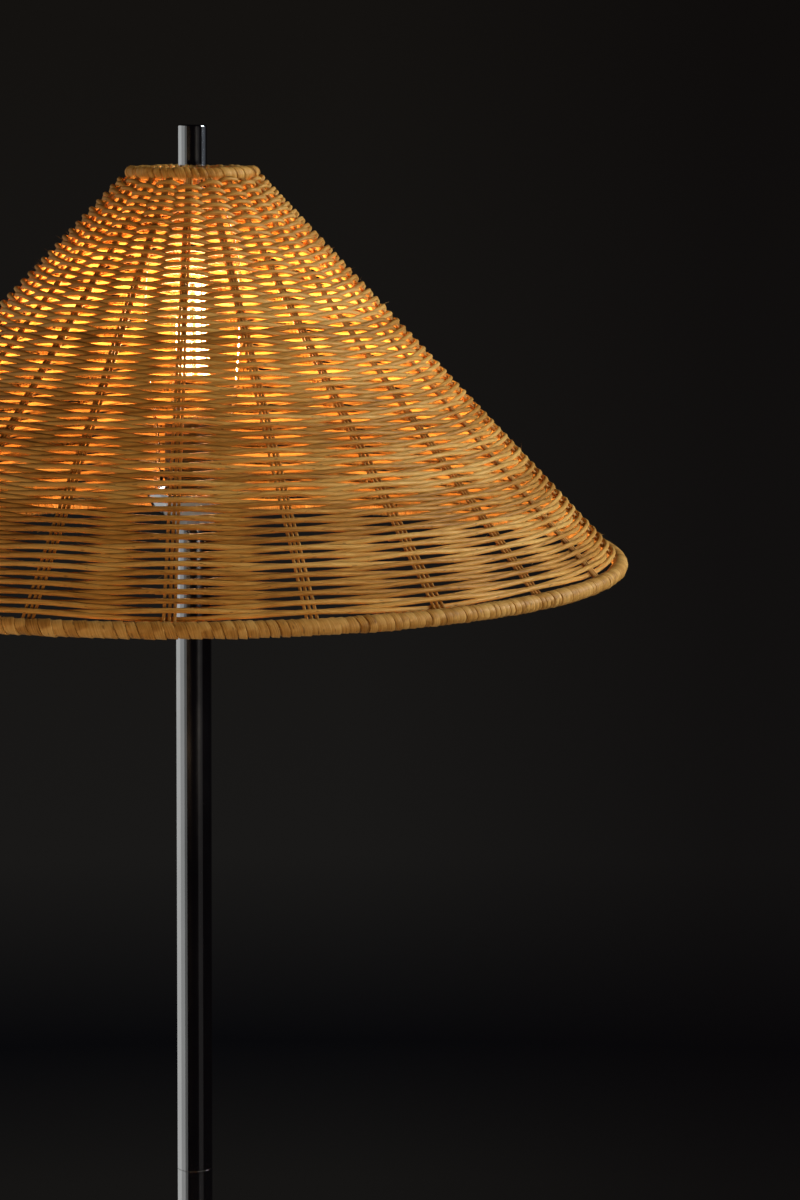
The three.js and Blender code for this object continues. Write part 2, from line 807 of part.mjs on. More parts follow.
// A stake: rods squeezed together under the top ring and spread to the rim, where their ends
// sit in the slit of the wrapped roll.
function stake(index) {
  const [topR, topZ] = onSlope(topWrapRadius + seatGap + stakeRadius, 0);
  const [rimR, rimZ] = onSlope(slopeLength - rimCoreRadius - boreGap - stakeRadius, 0);
  const rods = stakeRodShares.map((share) => {
    const top = new THREE.Vector3(share * stakeTopPitchShare * stakeRadius, -topR, topZ);
    const end = new THREE.Vector3(share * (2 * stakeRadius + stakeRimGap), -rimR, rimZ);
    return rod(top, end, stakeRadius, reedFacets);
  });
  return join(rods).rotateZ(stakeFirstAngle + (index * 2 * Math.PI) / stakeCount);
}

// The woven strands as one skin over the outside of the stakes, with a flat over each stake. The
// gaps between the strands are a grid of openings that show the stakes. From one stake to the next
// a row climbs by half a row and a little more, as a weave over an odd number of stakes does.
function weaveSkin() {
  const from = topWrapRadius + seatGap;
  const to = slopeLength - rimWrapRadius - seatGap;
  const skinFacets = flatsPerStake * stakeCount;
  const flatSpare = rimRingRadius * (1 - Math.cos(Math.PI / skinFacets));
  const inside = skinInside + flatSpare;
  const outline = [
    onSlope(from, inside),
    onSlope(to, inside),
    onSlope(to, skinOutside),
    onSlope(from, skinOutside),
  ];
  const skin = turned(outline, skinFacets).rotateZ(-Math.PI / skinFacets);
  const rowPitch = (to - from) / (openingRows + 1);
  const openings = Array.from({ length: stakeCount * openingRows }, (_, i) => {
    const stakeIndex = i % stakeCount;
    const climb = ((stakeIndex * (stakeCount + 1)) / (2 * stakeCount)) % 1;
    const row = Math.floor(i / stakeCount) + climb + 1 / 2;
    return weaveOpening(from + row * rowPitch, rowPitch * openingHeightShare, inside).rotateZ(
      (stakeIndex * 2 * Math.PI) / stakeCount,
    );
  });
  return cut(skin, openings).rotateZ(stakeFirstAngle);
}

// One opening in the flat over a stake, that far down the slope.
function weaveOpening(along, height, inside) {
  const [radius, middle] = onSlope(along, (inside + skinOutside) / 2);
  const width = (openingWidthShare * 2 * Math.PI * radius) / stakeCount;
  const depth = skinOutside - inside + 2 * cutOverrun;
  return new THREE.BoxGeometry(width, depth, height)
    .rotateX(-Math.atan2(slopeRun, shadeHeight))
    .translate(0, -radius, middle);
}

// Finial

function finialInsert() {
  const bottom = finialBottom + seatGap;
  return ring(finialInsertRadius, studRadius + boreGap, bottom, bottom + finialInsertLength, smallFacets);
}

function finial() {
  const boreRadius = finialInsertRadius + boreGap;
  const boreTop = finialBottom + finialInsertLength + 2 * seatGap;
  const top = finialBottom + finialLength;
  return turned(
    [
      [boreRadius, finialBottom],
      [finialRadius, finialBottom],
      [finialRadius, top - finialChamfer],
      [finialRadius - finialChamfer, top],
      [0, top],
      [0, boreTop],
      [boreRadius, boreTop],
    ],
    poleFacets,
  );
}

// The lamp, from the floor up

const lamp = new THREE.Group();
lamp.name = "rattan_floor_lamp";

function group(name, pieces) {
  const assembly = new THREE.Group();
  assembly.name = name;
  for (const [node, geometry, material] of pieces) {
    const mesh = new THREE.Mesh(geometry, material.clone());
    mesh.name = node;
    assembly.add(mesh);
  }
  lamp.add(assembly);
}

const washer = ring(
  washerRadius,
  nippleHoleRadius,
  baseWasherTop - washerThickness,
  baseWasherTop,
  smallFacets,
);

group("base", [
  ["base_pad", basePad(), felt],
  ["base_weight", baseWeight(), castIron],
  ["base_cover", baseCover(), chrome],
  ["cord_outlet", cordOutlet(), blackRubber],
  ["base_washer", washer, zincSteel],
  ["base_nut", hexNut(nutAcrossFlats, nutThickness, baseNutTop - nutThickness), brass],
  ["base_nipple", nipple(baseNippleBottom, poleBottom + nippleGrip), zincSteel],
]);

group("pole", [
  ["pole_lower", poleTube(poleBottom, poleJoint), chrome],
  ["pole_joint_nipple", nipple(poleJoint - nippleGrip, upperPoleBottom + nippleGrip), zincSteel],
  ["pole_upper", poleTube(upperPoleBottom, poleTop), chrome],
  ["top_nipple", nipple(poleTop - nippleGrip, topNippleTop), zincSteel],
]);

group("lamp_holder", [
  ["holder_cup", holderCup(), chrome],
  ["lock_nut", hexNut(nutAcrossFlats, lockNutThickness, lockNutBottom), brass],
  ["holder_cap", holderCap(), blackPhenolic],
  ["terminal_block", terminalBlock(), whiteCeramic],
  ["contact_plate", contactPlate(), brass],
  ["thread_sleeve", threadSleeve(), brass],
  ["holder_shell", holderShell(), blackPhenolic],
]);

group("bulb", [
  ["bulb_contact", bulbContact(), zincSteel],
  ["bulb_insulator", bulbInsulator(), blackGlass],
  ["bulb_cap", bulbCap(), zincSteel],
  ["bulb_stem", bulbStem(), clearGlass],
  ["bulb_filaments", filamentCage(), glowingFilament],
  ["bulb_glass", bulbGlass(), clearGlass],
]);

group("harp", [
  ["harp_saddle", harpSaddle(), chrome],
  ["harp_wire", harpWire(), chrome],
  ["harp_sleeve_left", harpSleeve(-1), chrome],
  ["harp_sleeve_right", harpSleeve(1), chrome],
  ["harp_stud", harpStud(), chrome],
]);

const stakes = Array.from({ length: stakeCount }, (_, i) => {
  const node = `stake_${String(i + 1).padStart(2, "0")}`;
  return [node, stake(i), rattanStake];
});

group("shade", [
  ["shade_spider", spider(), chrome],
  ["top_wrap", topWrap(), rattanPeel],
  ...stakes,
  ["shade_weave", weaveSkin(), rattanStrand],
  ["rim_core", rimCore(), rattanStake],
  ["rim_wrap", rimWrap(), rattanPeel],
]);

group("finial", [
  ["finial_insert", finialInsert(), brass],
  ["finial", finial(), chrome],
]);

export default lamp;
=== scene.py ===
"""A floor lamp with a woven rattan cone for a shade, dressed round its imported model.

Lengths are in metres in the model's own frame: +Z is up, and the origin is on the floor under the
pole's axis. Each class holds the sizes of one sub-assembly, builds its pieces and gives them their
finishes. main() builds the classes in order.
"""

import sys

import logging
import math
from dataclasses import dataclass, field
from enum import Enum
from typing import Any, Sequence

import bpy
import numpy as np
from mathutils import Matrix, Vector


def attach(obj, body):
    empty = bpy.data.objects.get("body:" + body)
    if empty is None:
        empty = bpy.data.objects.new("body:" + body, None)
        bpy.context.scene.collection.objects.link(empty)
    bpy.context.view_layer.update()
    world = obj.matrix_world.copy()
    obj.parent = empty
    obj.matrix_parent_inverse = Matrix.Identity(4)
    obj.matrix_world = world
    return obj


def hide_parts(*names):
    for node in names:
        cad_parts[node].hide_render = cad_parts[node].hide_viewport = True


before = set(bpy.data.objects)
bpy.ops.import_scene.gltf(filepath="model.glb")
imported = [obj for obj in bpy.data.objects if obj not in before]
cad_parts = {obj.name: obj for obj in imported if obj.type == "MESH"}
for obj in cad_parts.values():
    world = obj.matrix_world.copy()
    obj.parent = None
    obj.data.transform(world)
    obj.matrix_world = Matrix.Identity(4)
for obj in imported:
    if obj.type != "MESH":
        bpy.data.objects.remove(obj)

LOG = logging.getLogger("lamp")
MM = 0.001
TURN = 2 * math.pi
NOTHING = 1e-9  # lengths below this count as none
DRAWN_WELD = 1e-7  # how close two corners of a drawn section are when they are one
SPUN_WELD = 2e-6  # the same after spinning
PACKED_WELD = 1e-6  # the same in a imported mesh
PACKED_FLAT = math.radians(0.5)  # packed faces that turn by less are one face
STRAIGHT = math.radians(172)  # a corner that opens wider stays as it is
EDGE_SHARE = 0.45  # the most of an edge that one rounding takes up
MITRE = 0.3  # keeps the wall of a very sharp corner from running off
HOLD = 1.5  # where the point past a rounding lies, in reaches from the corner
HOLD_FROM = 4.0  # shortest edge that gets one, in reaches

Point = tuple[float, float]
Place = tuple[float, float, float]
Knot = tuple[Place, Place, Place]
Tree = bpy.types.NodeTree
Node = bpy.types.Node
Socket = bpy.types.NodeSocket
Material = bpy.types.Material
Piece = bpy.types.Object

# What each kind of unevenness is drawn from
SEED_DRIFT = 11
SEED_FIBRES = 77
SEED_STRAND = 100
SEED_REED = 500
SEED_REED_BEND = 900
SEED_REED_LIFT = 1200


# Colour and nodes


def linear(code: str) -> tuple[float, float, float, float]:
    """Turns an sRGB hex colour to linear light.

    Args:
        code: six hex digits after a hash sign.

    Returns:
        Red, green, blue and an alpha of 1.
    """
    parts = [int(code[i : i + 2], 16) / 255 for i in (1, 3, 5)]
    red, green, blue = (p / 12.92 if p <= 0.04045 else ((p + 0.055) / 1.055) ** 2.4 for p in parts)
    return red, green, blue, 1.0


def add(tree: Tree, kind: str, inputs: dict[str | int, Any], **settings: Any) -> Node:
    """Adds one node to a tree.

    Args:
        tree: the node tree.
        kind: the node's type, without its ShaderNode prefix.
        inputs: a value, or the output socket to link, for each input socket.
        **settings: the node's own properties.

    Returns:
        The node.
    """
    made = tree.nodes.new("ShaderNode" + kind)
    for name, value in settings.items():
        setattr(made, name, value)
    for name, value in inputs.items():
        if isinstance(value, Socket):
            tree.links.new(value, made.inputs[name])
        else:
            made.inputs[name].default_value = value
    return made


def ramp(tree: Tree, factor: Socket, stops: Sequence[tuple[float, str]]) -> Socket:
    """Colours a factor with a ramp.

    Args:
        tree: the node tree.
        factor: the socket that is coloured.
        stops: a position and a hex colour for each stop.

    Returns:
        The colour socket.
    """
    made = add(tree, "ValToRGB", {"Fac": factor})
    elements = made.color_ramp.elements
    while len(elements) < len(stops):
        elements.new(0.5)
    for element, (position, code) in zip(elements, stops):
        element.position = position
        element.color = linear(code)
    return made.outputs["Color"]


def surface(name: str, **shader: Any) -> tuple[Material, Tree, Node]:
    """Starts a material with one principled shader.

    Args:
        name: the material's name.
        **shader: constants for the shader's sockets, with underscores for spaces.

    Returns:
        The material, its tree and the shader.
    """
    material = bpy.data.materials.new(name)
    material.use_nodes = True
    tree = material.node_tree
    principled = tree.nodes["Principled BSDF"]
    for socket, value in shader.items():
        principled.inputs[socket.replace("_", " ")].default_value = value
    return material, tree, principled


def feed(tree: Tree, shader: Node, **sockets: Socket) -> None:
    """Links sockets into a shader's inputs, which are named with underscores for spaces."""
    for name, socket in sockets.items():
        tree.links.new(socket, shader.inputs[name.replace("_", " ")])


def object_pattern(tree: Tree, grain: float, tall: float = 1.0) -> Socket:
    """Gives object coordinates scaled so that one unit of a pattern is one grain.

    Args:
        tree: the node tree.
        grain: the real width of one grain.
        tall: how many times as high as wide it is.

    Returns:
        The vector socket.
    """
    where = add(tree, "TexCoord", {})
    scale = (1 / grain, 1 / grain, 1 / (tall * grain))
    return add(tree, "Mapping", {"Vector": where.outputs["Object"], "Scale": scale}).outputs["Vector"]


def fibre_pattern(tree: Tree, length: float, width: float) -> Socket:
    """Gives the piece's own UV, in metres along and round a strand, scaled to its fibres.

    Args:
        tree: the node tree.
        length: the length of one fibre mark.
        width: its width.

    Returns:
        The vector socket.
    """
    where = add(tree, "UVMap", {}, uv_map="strand")
    scale = (1 / length, 1 / width, 1)
    return add(tree, "Mapping", {"Vector": where.outputs["UV"], "Scale": scale}).outputs["Vector"]


def noise(tree: Tree, vector: Socket, detail: float, rough: float = 0.5, flat: bool = False) -> Socket:
    """Gives a noise whose marks are one unit of the vector wide, in the UV plane where it is flat."""
    inputs = {"Vector": vector, "Scale": 1.0, "Detail": detail, "Roughness": rough}
    return add(tree, "TexNoise", inputs, noise_dimensions="2D" if flat else "3D").outputs["Fac"]


def remap(tree: Tree, value: Socket, low: float, high: float, to: Point = (0.0, 1.0)) -> Socket:
    """Stretches a value's span from low to high to another span."""
    inputs = {"Value": value, "From Min": low, "From Max": high, "To Min": to[0], "To Max": to[1]}
    return add(tree, "MapRange", inputs).outputs["Result"]


def times(tree: Tree, first: Socket, second: Socket | float, plus: Socket | float = 0.0) -> Socket:
    """Multiplies two values and adds a third."""
    return add(tree, "Math", {0: first, 1: second, 2: plus}, operation="MULTIPLY_ADD").outputs[0]


def blend(tree: Tree, share: Socket, first: Any, second: Any) -> Socket:
    """Blends two colours by the share of the second one."""
    return add(tree, "Mix", {0: share, 6: first, 7: second}, data_type="RGBA").outputs[2]


def bump(tree: Tree, strength: float, distance: float, height: Socket) -> Socket:
    """Turns a height into a relief of a real distance."""
    inputs = {"Strength": strength, "Distance": distance, "Height": height}
    return add(tree, "Bump", inputs).outputs["Normal"]


# Finishes


@dataclass(frozen=True)
class RattanCane:
    """Rattan, as core strand, split reed or outer peel, under a thin satin lacquer."""

    name: str
    dark: str
    middle: str
    light: str
    roughness: float
    fibre_width: float
    fibre_length: float = 13 * MM
    blotch: float = 38 * MM
    relief: float = 0.25
    groove: float = 0.15 * MM
    specular: float = 0.22
    fibre_weight: float = 0.65
    blotch_weight: float = 0.3
    length_weight: float = 0.3
    stops: Place = (0.36, 0.6, 0.86)
    pore: float = 2.2 * MM
    pore_span: Point = (0.72, 0.8)
    pore_stain: str = "#54351A"
    pore_share: float = 0.55

    def material(self) -> Material:
        """Gives straw brown fibre with long streaks, lighter and darker lengths and rare dark pores.

        Returns:
            The material.
        """
        gloss = {"Roughness": self.roughness, "Specular_IOR_Level": self.specular}
        material, tree, shader = surface(self.name, **gloss)
        streaks = noise(tree, fibre_pattern(tree, self.fibre_length, self.fibre_width), 4.0, flat=True)
        patches = noise(tree, object_pattern(tree, self.blotch), 2.0)
        lengths = add(tree, "Attribute", {}, attribute_name="tone").outputs["Fac"]
        tone = times(tree, streaks, self.fibre_weight)
        tone = times(tree, patches, self.blotch_weight, tone)
        tone = times(tree, lengths, self.length_weight, tone)
        fibre = ramp(tree, tone, list(zip(self.stops, (self.dark, self.middle, self.light))))
        pores = noise(tree, fibre_pattern(tree, 3 * self.pore, self.pore), 1.0, flat=True)
        share = times(tree, remap(tree, pores, *self.pore_span), self.pore_share)
        stained = blend(tree, share, fibre, linear(self.pore_stain))
        feed(tree, shader, Base_Color=stained, Normal=bump(tree, self.relief, self.groove, streaks))
        return material


@dataclass(frozen=True)
class Plate:
    """A plated or bare metal, polished, spun or rolled."""

    name: str
    colour: str
    worn: str
    roughness: float
    spread: float
    patch: float
    ring: float = 0.0
    ring_depth: float = 0.02 * MM
    ring_relief: float = 0.05
    ring_waver: float = 0.6
    mark_height: float = 2.5

    def material(self) -> Material:
        """Gives a metal whose gloss is broken by faint wipe marks, and spun rings where it was spun.

        Returns:
            The material.
        """
        material, tree, shader = surface(self.name, Metallic=1.0)
        marks = noise(tree, object_pattern(tree, self.patch, self.mark_height), 4.0, 0.6)
        gloss = remap(tree, marks, 0.3, 0.7, (self.roughness - self.spread, self.roughness + self.spread))
        colour = ramp(tree, marks, [(0.3, self.worn), (0.55, self.colour)])
        feed(tree, shader, Base_Color=colour, Roughness=gloss)
        if self.ring:
            rings_at = object_pattern(tree, self.ring)
            inputs = {"Vector": rings_at, "Scale": 1 / TURN, "Distortion": self.ring_waver}
            rings = add(tree, "TexWave", inputs, wave_type="RINGS", rings_direction="Z").outputs["Fac"]
            feed(tree, shader, Normal=bump(tree, self.ring_relief, self.ring_depth, rings))
        return material


@dataclass(frozen=True)
class Coat:
    """A non-metal that is moulded, cast, glazed or felted."""

    name: str
    colour: str
    fleck: str
    roughness: float
    grain: float
    relief: float
    sheen: float = 0.0
    index: float = 1.5

    def material(self) -> Material:
        """Gives a plain coat with the grain of how it was made.

        Returns:
            The material.
        """
        constants = {"Roughness": self.roughness, "IOR": self.index, "Sheen_Weight": self.sheen}
        material, tree, shader = surface(self.name, **constants)
        grain = noise(tree, object_pattern(tree, self.grain), 3.0)
        colour = ramp(tree, grain, [(0.35, self.fleck), (0.6, self.colour)])
        feed(tree, shader, Base_Color=colour, Normal=bump(tree, self.relief, self.grain / 4, grain))
        return material


@dataclass(frozen=True)
class ClearGlass:
    """Blown soda glass: it shows by what it mirrors at its edges."""

    name: str = "glass_blown_clear"
    index: float = 1.5
    edge: float = 0.35
    roughness: float = 0.03
    passing: tuple[float, float, float, float] = (0.97, 0.975, 0.97, 1.0)
    wave: float = 30 * MM
    wave_depth: float = 0.3 * MM
    wave_relief: float = 0.1

    def material(self) -> Material:
        """Gives a shell that light passes, with a sharp mirror that grows towards the edges.

        Returns:
            The material.
        """
        material = bpy.data.materials.new(self.name)
        material.use_nodes = True
        tree = material.node_tree
        tree.nodes.clear()
        wave = noise(tree, object_pattern(tree, self.wave), 1.0)
        uneven = bump(tree, self.wave_relief, self.wave_depth, wave)
        mirror = add(tree, "BsdfGlossy", {"Roughness": self.roughness, "Normal": uneven})
        through = add(tree, "BsdfTransparent", {"Color": self.passing})
        share = times(tree, add(tree, "Fresnel", {"IOR": self.index}).outputs["Fac"], self.edge)
        mixed = add(tree, "MixShader", {0: share, 1: through.outputs[0], 2: mirror.outputs[0]})
        add(tree, "OutputMaterial", {"Surface": mixed.outputs["Shader"]})
        return material


@dataclass(frozen=True)
class LitFilament:
    """A phosphor coated filament that is switched on."""

    name: str = "filament_phosphor_lit"
    coat: str = "#F2C766"
    between: str = "#C99A3E"
    glow: str = "#FFD9A0"
    strength: float = 22.0
    bead: float = 1.1 * MM

    def material(self) -> Material:
        """Gives a yellow coat that shines evenly, with the beads of the chips under it.

        Returns:
            The material.
        """
        glow = {"Emission_Color": linear(self.glow), "Emission_Strength": self.strength}
        material, tree, shader = surface(self.name, Roughness=0.55, **glow)
        beads = noise(tree, object_pattern(tree, self.bead), 1.0)
        feed(tree, shader, Base_Color=ramp(tree, beads, [(0.4, self.between), (0.6, self.coat)]))
        return material


# Modelling


def deselect() -> None:
    """Leaves edit mode and deselects everything."""
    if bpy.context.object and bpy.context.object.mode != "OBJECT":
        bpy.ops.object.mode_set(mode="OBJECT")
    bpy.ops.object.select_all(action="DESELECT")


def activate(piece: Piece) -> Piece:
    """Selects one piece alone and makes it the active one.

    Args:
        piece: the piece.

    Returns:
        The piece.
    """
    deselect()
    piece.select_set(True)
    bpy.context.view_layer.objects.active = piece
    return piece


def named(name: str) -> Piece:
    """Names the active object and its data.

    Args:
        name: the name.

    Returns:
        The active object.
    """
    made = bpy.context.object
    made.name = made.data.name = name
    return made


def placed(name: str, data: bpy.types.ID) -> Piece:
    """Puts a mesh or a camera into the scene.

    Args:
        name: the new object's name.
        data: the mesh or camera.

    Returns:
        The object.
    """
    piece = bpy.data.objects.new(name, data)
    bpy.context.scene.collection.objects.link(piece)
    return piece


def settle(piece: Piece, smooth: float = 40.0) -> Piece:
    """Puts a piece's place into its mesh and smooths its shading.

    Args:
        piece: the piece.
        smooth: edges that turn by less than this many degrees are smooth.

    Returns:
        The piece.
    """
    activate(piece)
    bpy.ops.object.transform_apply(location=True, rotation=True, scale=True)
    bpy.ops.object.shade_smooth_by_angle(angle=math.radians(smooth))
    return piece


def eased(outline: Sequence[Point], radius: float, steps: int = 3, loop: bool = True) -> list[Point]:
    """Rounds the corners of an outline, with a point past each rounding that keeps a long flat flat.

    Args:
        outline: the corners, as radius and height.
        radius: how far from a corner its rounding starts.
        steps: the number of edges in a rounding.
        loop: whether the last corner joins the first.

    Returns:
        The rounded outline.
    """
    made: list[Point] = []
    count = len(outline)
    for i, (r, z) in enumerate(outline):
        before = Vector(outline[i - 1]) - Vector((r, z))
        after = Vector(outline[(i + 1) % count]) - Vector((r, z))
        at_end = not loop and i in (0, count - 1)
        reach = min(radius, EDGE_SHARE * before.length, EDGE_SHARE * after.length)
        short = min(before.length, after.length) < NOTHING
        if at_end or r < NOTHING or short or before.angle(after, math.pi) > STRAIGHT:
            made.append((r, z))
            continue
        first, last = before.normalized() * reach, after.normalized() * reach
        if before.length > HOLD_FROM * reach:
            made.append((r + HOLD * first.x, z + HOLD * first.y))
        for k in range(steps + 1):
            t = k / steps
            offset = first * (1 - t) ** 2 + last * t**2
            made.append((r + offset.x, z + offset.y))
        if after.length > HOLD_FROM * reach:
            made.append((r + HOLD * last.x, z + HOLD * last.y))
    return made


def walled(line: Sequence[Point], wall: float) -> list[Point]:
    """Closes a line into the section of a sheet of even thickness, which lies on the line's left.

    Args:
        line: the points of one face.
        wall: the thickness.

    Returns:
        The closed outline.
    """
    points = [Vector(p) for p in line]
    other = []
    for i, point in enumerate(points):
        a = (point - points[i - 1]).normalized() if i else Vector((0, 0))
        b = (points[i + 1] - point).normalized() if i + 1 < len(points) else Vector((0, 0))
        mean = (a + b).normalized()
        square = mean.dot(b) if a.length and b.length else 1.0
        shift = wall / max(square, MITRE)
        other.append((0.0 if point.x < NOTHING else point.x - mean.y * shift, point.y + mean.x * shift))
    return [tuple(p) for p in points] + other[::-1]


def bezier(corners: Sequence[Point], steps: int) -> list[Point]:
    """Points along a quadratic or cubic curve, both ends included.

    Args:
        corners: the curve's three or four control points.
        steps: the number of edges.

    Returns:
        The points.
    """
    degree = len(corners) - 1
    made = []
    for k in range(steps + 1):
        t = k / steps
        weights = [math.comb(degree, i) * (1 - t) ** (degree - i) * t**i for i in range(degree + 1)]
        made.append(tuple(sum(w * c[axis] for w, c in zip(weights, corners)) for axis in (0, 1)))
    return made


def turn(name: str, outline: Sequence[Point], steps: int) -> Piece:
    """Turns a piece as on a lathe: its half section is drawn corner by corner and spun round the axis.

    Args:
        name: the piece's name.
        outline: the closed section, as radius and height.
        steps: the number of facets round the axis.

    Returns:
        The piece.
    """
    deselect()
    (radius, height), *rest = outline
    bpy.ops.mesh.primitive_plane_add(size=MM, location=(radius, 0, height))
    piece = named(name)
    bpy.ops.object.transform_apply(location=True, rotation=True, scale=True)
    bpy.ops.object.mode_set(mode="EDIT")
    bpy.ops.mesh.merge(type="CENTER")
    for r, z in [*rest, (radius, height)]:
        bpy.ops.mesh.extrude_region_move(TRANSFORM_OT_translate={"value": (r - radius, 0, z - height)})
        radius, height = r, z
    bpy.ops.mesh.select_all(action="SELECT")
    bpy.ops.mesh.remove_doubles(threshold=DRAWN_WELD)
    bpy.ops.mesh.spin(steps=steps, angle=TURN, center=(0, 0, 0), axis=(0, 0, 1))
    bpy.ops.mesh.select_all(action="SELECT")
    bpy.ops.mesh.remove_doubles(threshold=SPUN_WELD)
    bpy.ops.mesh.normals_make_consistent(inside=False)
    return settle(piece)


def cylinder(name: str, radius: float, depth: float, place: Place, turned: Place, sides: int) -> Piece:
    """Adds a cylinder.

    Args:
        name: the piece's name.
        radius: its radius.
        depth: its length.
        place: its middle.
        turned: how it is turned from upright, about X, Y and Z.
        sides: the number of facets.

    Returns:
        The piece, with its place not yet in its mesh.
    """
    deselect()
    bpy.ops.mesh.primitive_cylinder_add(
        vertices=sides, radius=radius, depth=depth, location=place, rotation=turned
    )
    return named(name)


def mirrored(half: Sequence[Point], bottom: float, top: float) -> list[Point]:
    """A section that is alike at both ends, from radii and distances from an end."""
    return [(r, bottom + z) for r, z in half] + [(r, top - z) for r, z in half[::-1]]


def quarter(centre: Point, reach: Point, steps: int) -> list[Point]:
    """Points on a quarter of an ellipse, from beside its centre to over or under it."""
    angles = np.linspace(0, math.pi / 2, steps + 1)
    return [(centre[0] + reach[0] * math.cos(a), centre[1] + reach[1] * math.sin(a)) for a in angles]


def cut_with(piece: Piece, cutter: Piece) -> Piece:
    """Cuts one piece out of another and throws the cutter away.

    Args:
        piece: what is cut.
        cutter: the shape that is taken out.

    Returns:
        The cut piece.
    """
    activate(piece)
    modifier = piece.modifiers.new("cut", "BOOLEAN")
    modifier.operation = "DIFFERENCE"
    modifier.solver = "EXACT"
    modifier.object = cutter
    bpy.ops.object.modifier_apply(modifier=modifier.name)
    bpy.data.objects.remove(cutter)
    return piece


def join(name: str, pieces: Sequence[Piece]) -> Piece:
    """Joins pieces that are welded to each other.

    Args:
        name: the name of the whole.
        pieces: the pieces.

    Returns:
        The whole.
    """
    activate(pieces[0])
    for piece in pieces:
        piece.select_set(True)
    bpy.ops.object.join()
    return settle(named(name))


def bevelled(piece: Piece, width: float, angle: float = 30.0, segments: int = 3) -> Piece:
    """Rounds a piece's sharp edges.

    Args:
        piece: the piece.
        width: the width of the rounding.
        angle: edges that turn by more than this many degrees are rounded.
        segments: the number of faces across a rounding.

    Returns:
        The piece.
    """
    activate(piece)
    modifier = piece.modifiers.new("round", "BEVEL")
    modifier.width = width
    modifier.segments = segments
    modifier.limit_method = "ANGLE"
    modifier.angle_limit = math.radians(angle)
    modifier.harden_normals = False
    bpy.ops.object.modifier_apply(modifier=modifier.name)
    return settle(piece)


def from_node(name: str, node: str) -> Piece:
    """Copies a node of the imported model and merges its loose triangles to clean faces.

    Args:
        name: the copy's name.
        node: the node.

    Returns:
        The copy.
    """
    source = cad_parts[node]
    copy = activate(placed(name, source.data.copy()))
    bpy.ops.object.mode_set(mode="EDIT")
    bpy.ops.mesh.select_all(action="SELECT")
    bpy.ops.mesh.remove_doubles(threshold=PACKED_WELD)
    bpy.ops.mesh.dissolve_limited(angle_limit=PACKED_FLAT)
    bpy.ops.mesh.normals_make_consistent(inside=False)
    bpy.ops.object.mode_set(mode="OBJECT")
    return copy


def bent_wire(name: str, knots: Sequence[Knot], radius: float, fine: int) -> Piece:
    """Bends a round wire along a curve.

    Args:
        name: the wire's name.
        knots: for each knot its place and the places of the handles before and after it.
        radius: the wire's radius.
        fine: the number of edges between two knots.

    Returns:
        The wire as a mesh.
    """
    deselect()
    bpy.ops.curve.primitive_bezier_curve_add()
    wire = named(name)
    curve = wire.data
    spline = curve.splines[0]
    spline.bezier_points.add(len(knots) - len(spline.bezier_points))
    for point, (place, before, after) in zip(spline.bezier_points, knots):
        point.handle_left_type = point.handle_right_type = "FREE"
        point.co, point.handle_left, point.handle_right = place, before, after
    curve.dimensions = "3D"
    curve.resolution_u = curve.render_resolution_u = fine
    curve.bevel_depth = radius
    curve.bevel_resolution = 5
    curve.use_fill_caps = True
    activate(wire)
    bpy.ops.object.convert(target="MESH")
    return settle(bpy.context.object)


@dataclass
class Strip:
    """A long piece that follows a path in space: its middle line, its two cross directions and its tone."""

    line: np.ndarray
    across: np.ndarray
    section: np.ndarray
    tone: float
    along: np.ndarray = field(init=False)

    def __post_init__(self) -> None:
        """Measures the distance along the path."""
        steps = np.linalg.norm(np.diff(self.line, axis=0), axis=1)
        self.along = np.concatenate([[0.0], np.cumsum(steps)])

    def rings(self) -> np.ndarray:
        """Places the section at each point of the path, square to it.

        Returns:
            An array of corners by path point, section corner and axis.
        """
        ahead = np.gradient(self.line, axis=0)
        ahead /= np.linalg.norm(ahead, axis=1)[:, None]
        side = self.across - (self.across * ahead).sum(1)[:, None] * ahead
        side /= np.linalg.norm(side, axis=1)[:, None]
        out = np.cross(side, ahead)
        section = self.section if self.section.ndim == 3 else self.section[None]
        return self.line[:, None] + section[..., :1] * side[:, None] + section[..., 1:] * out[:, None]


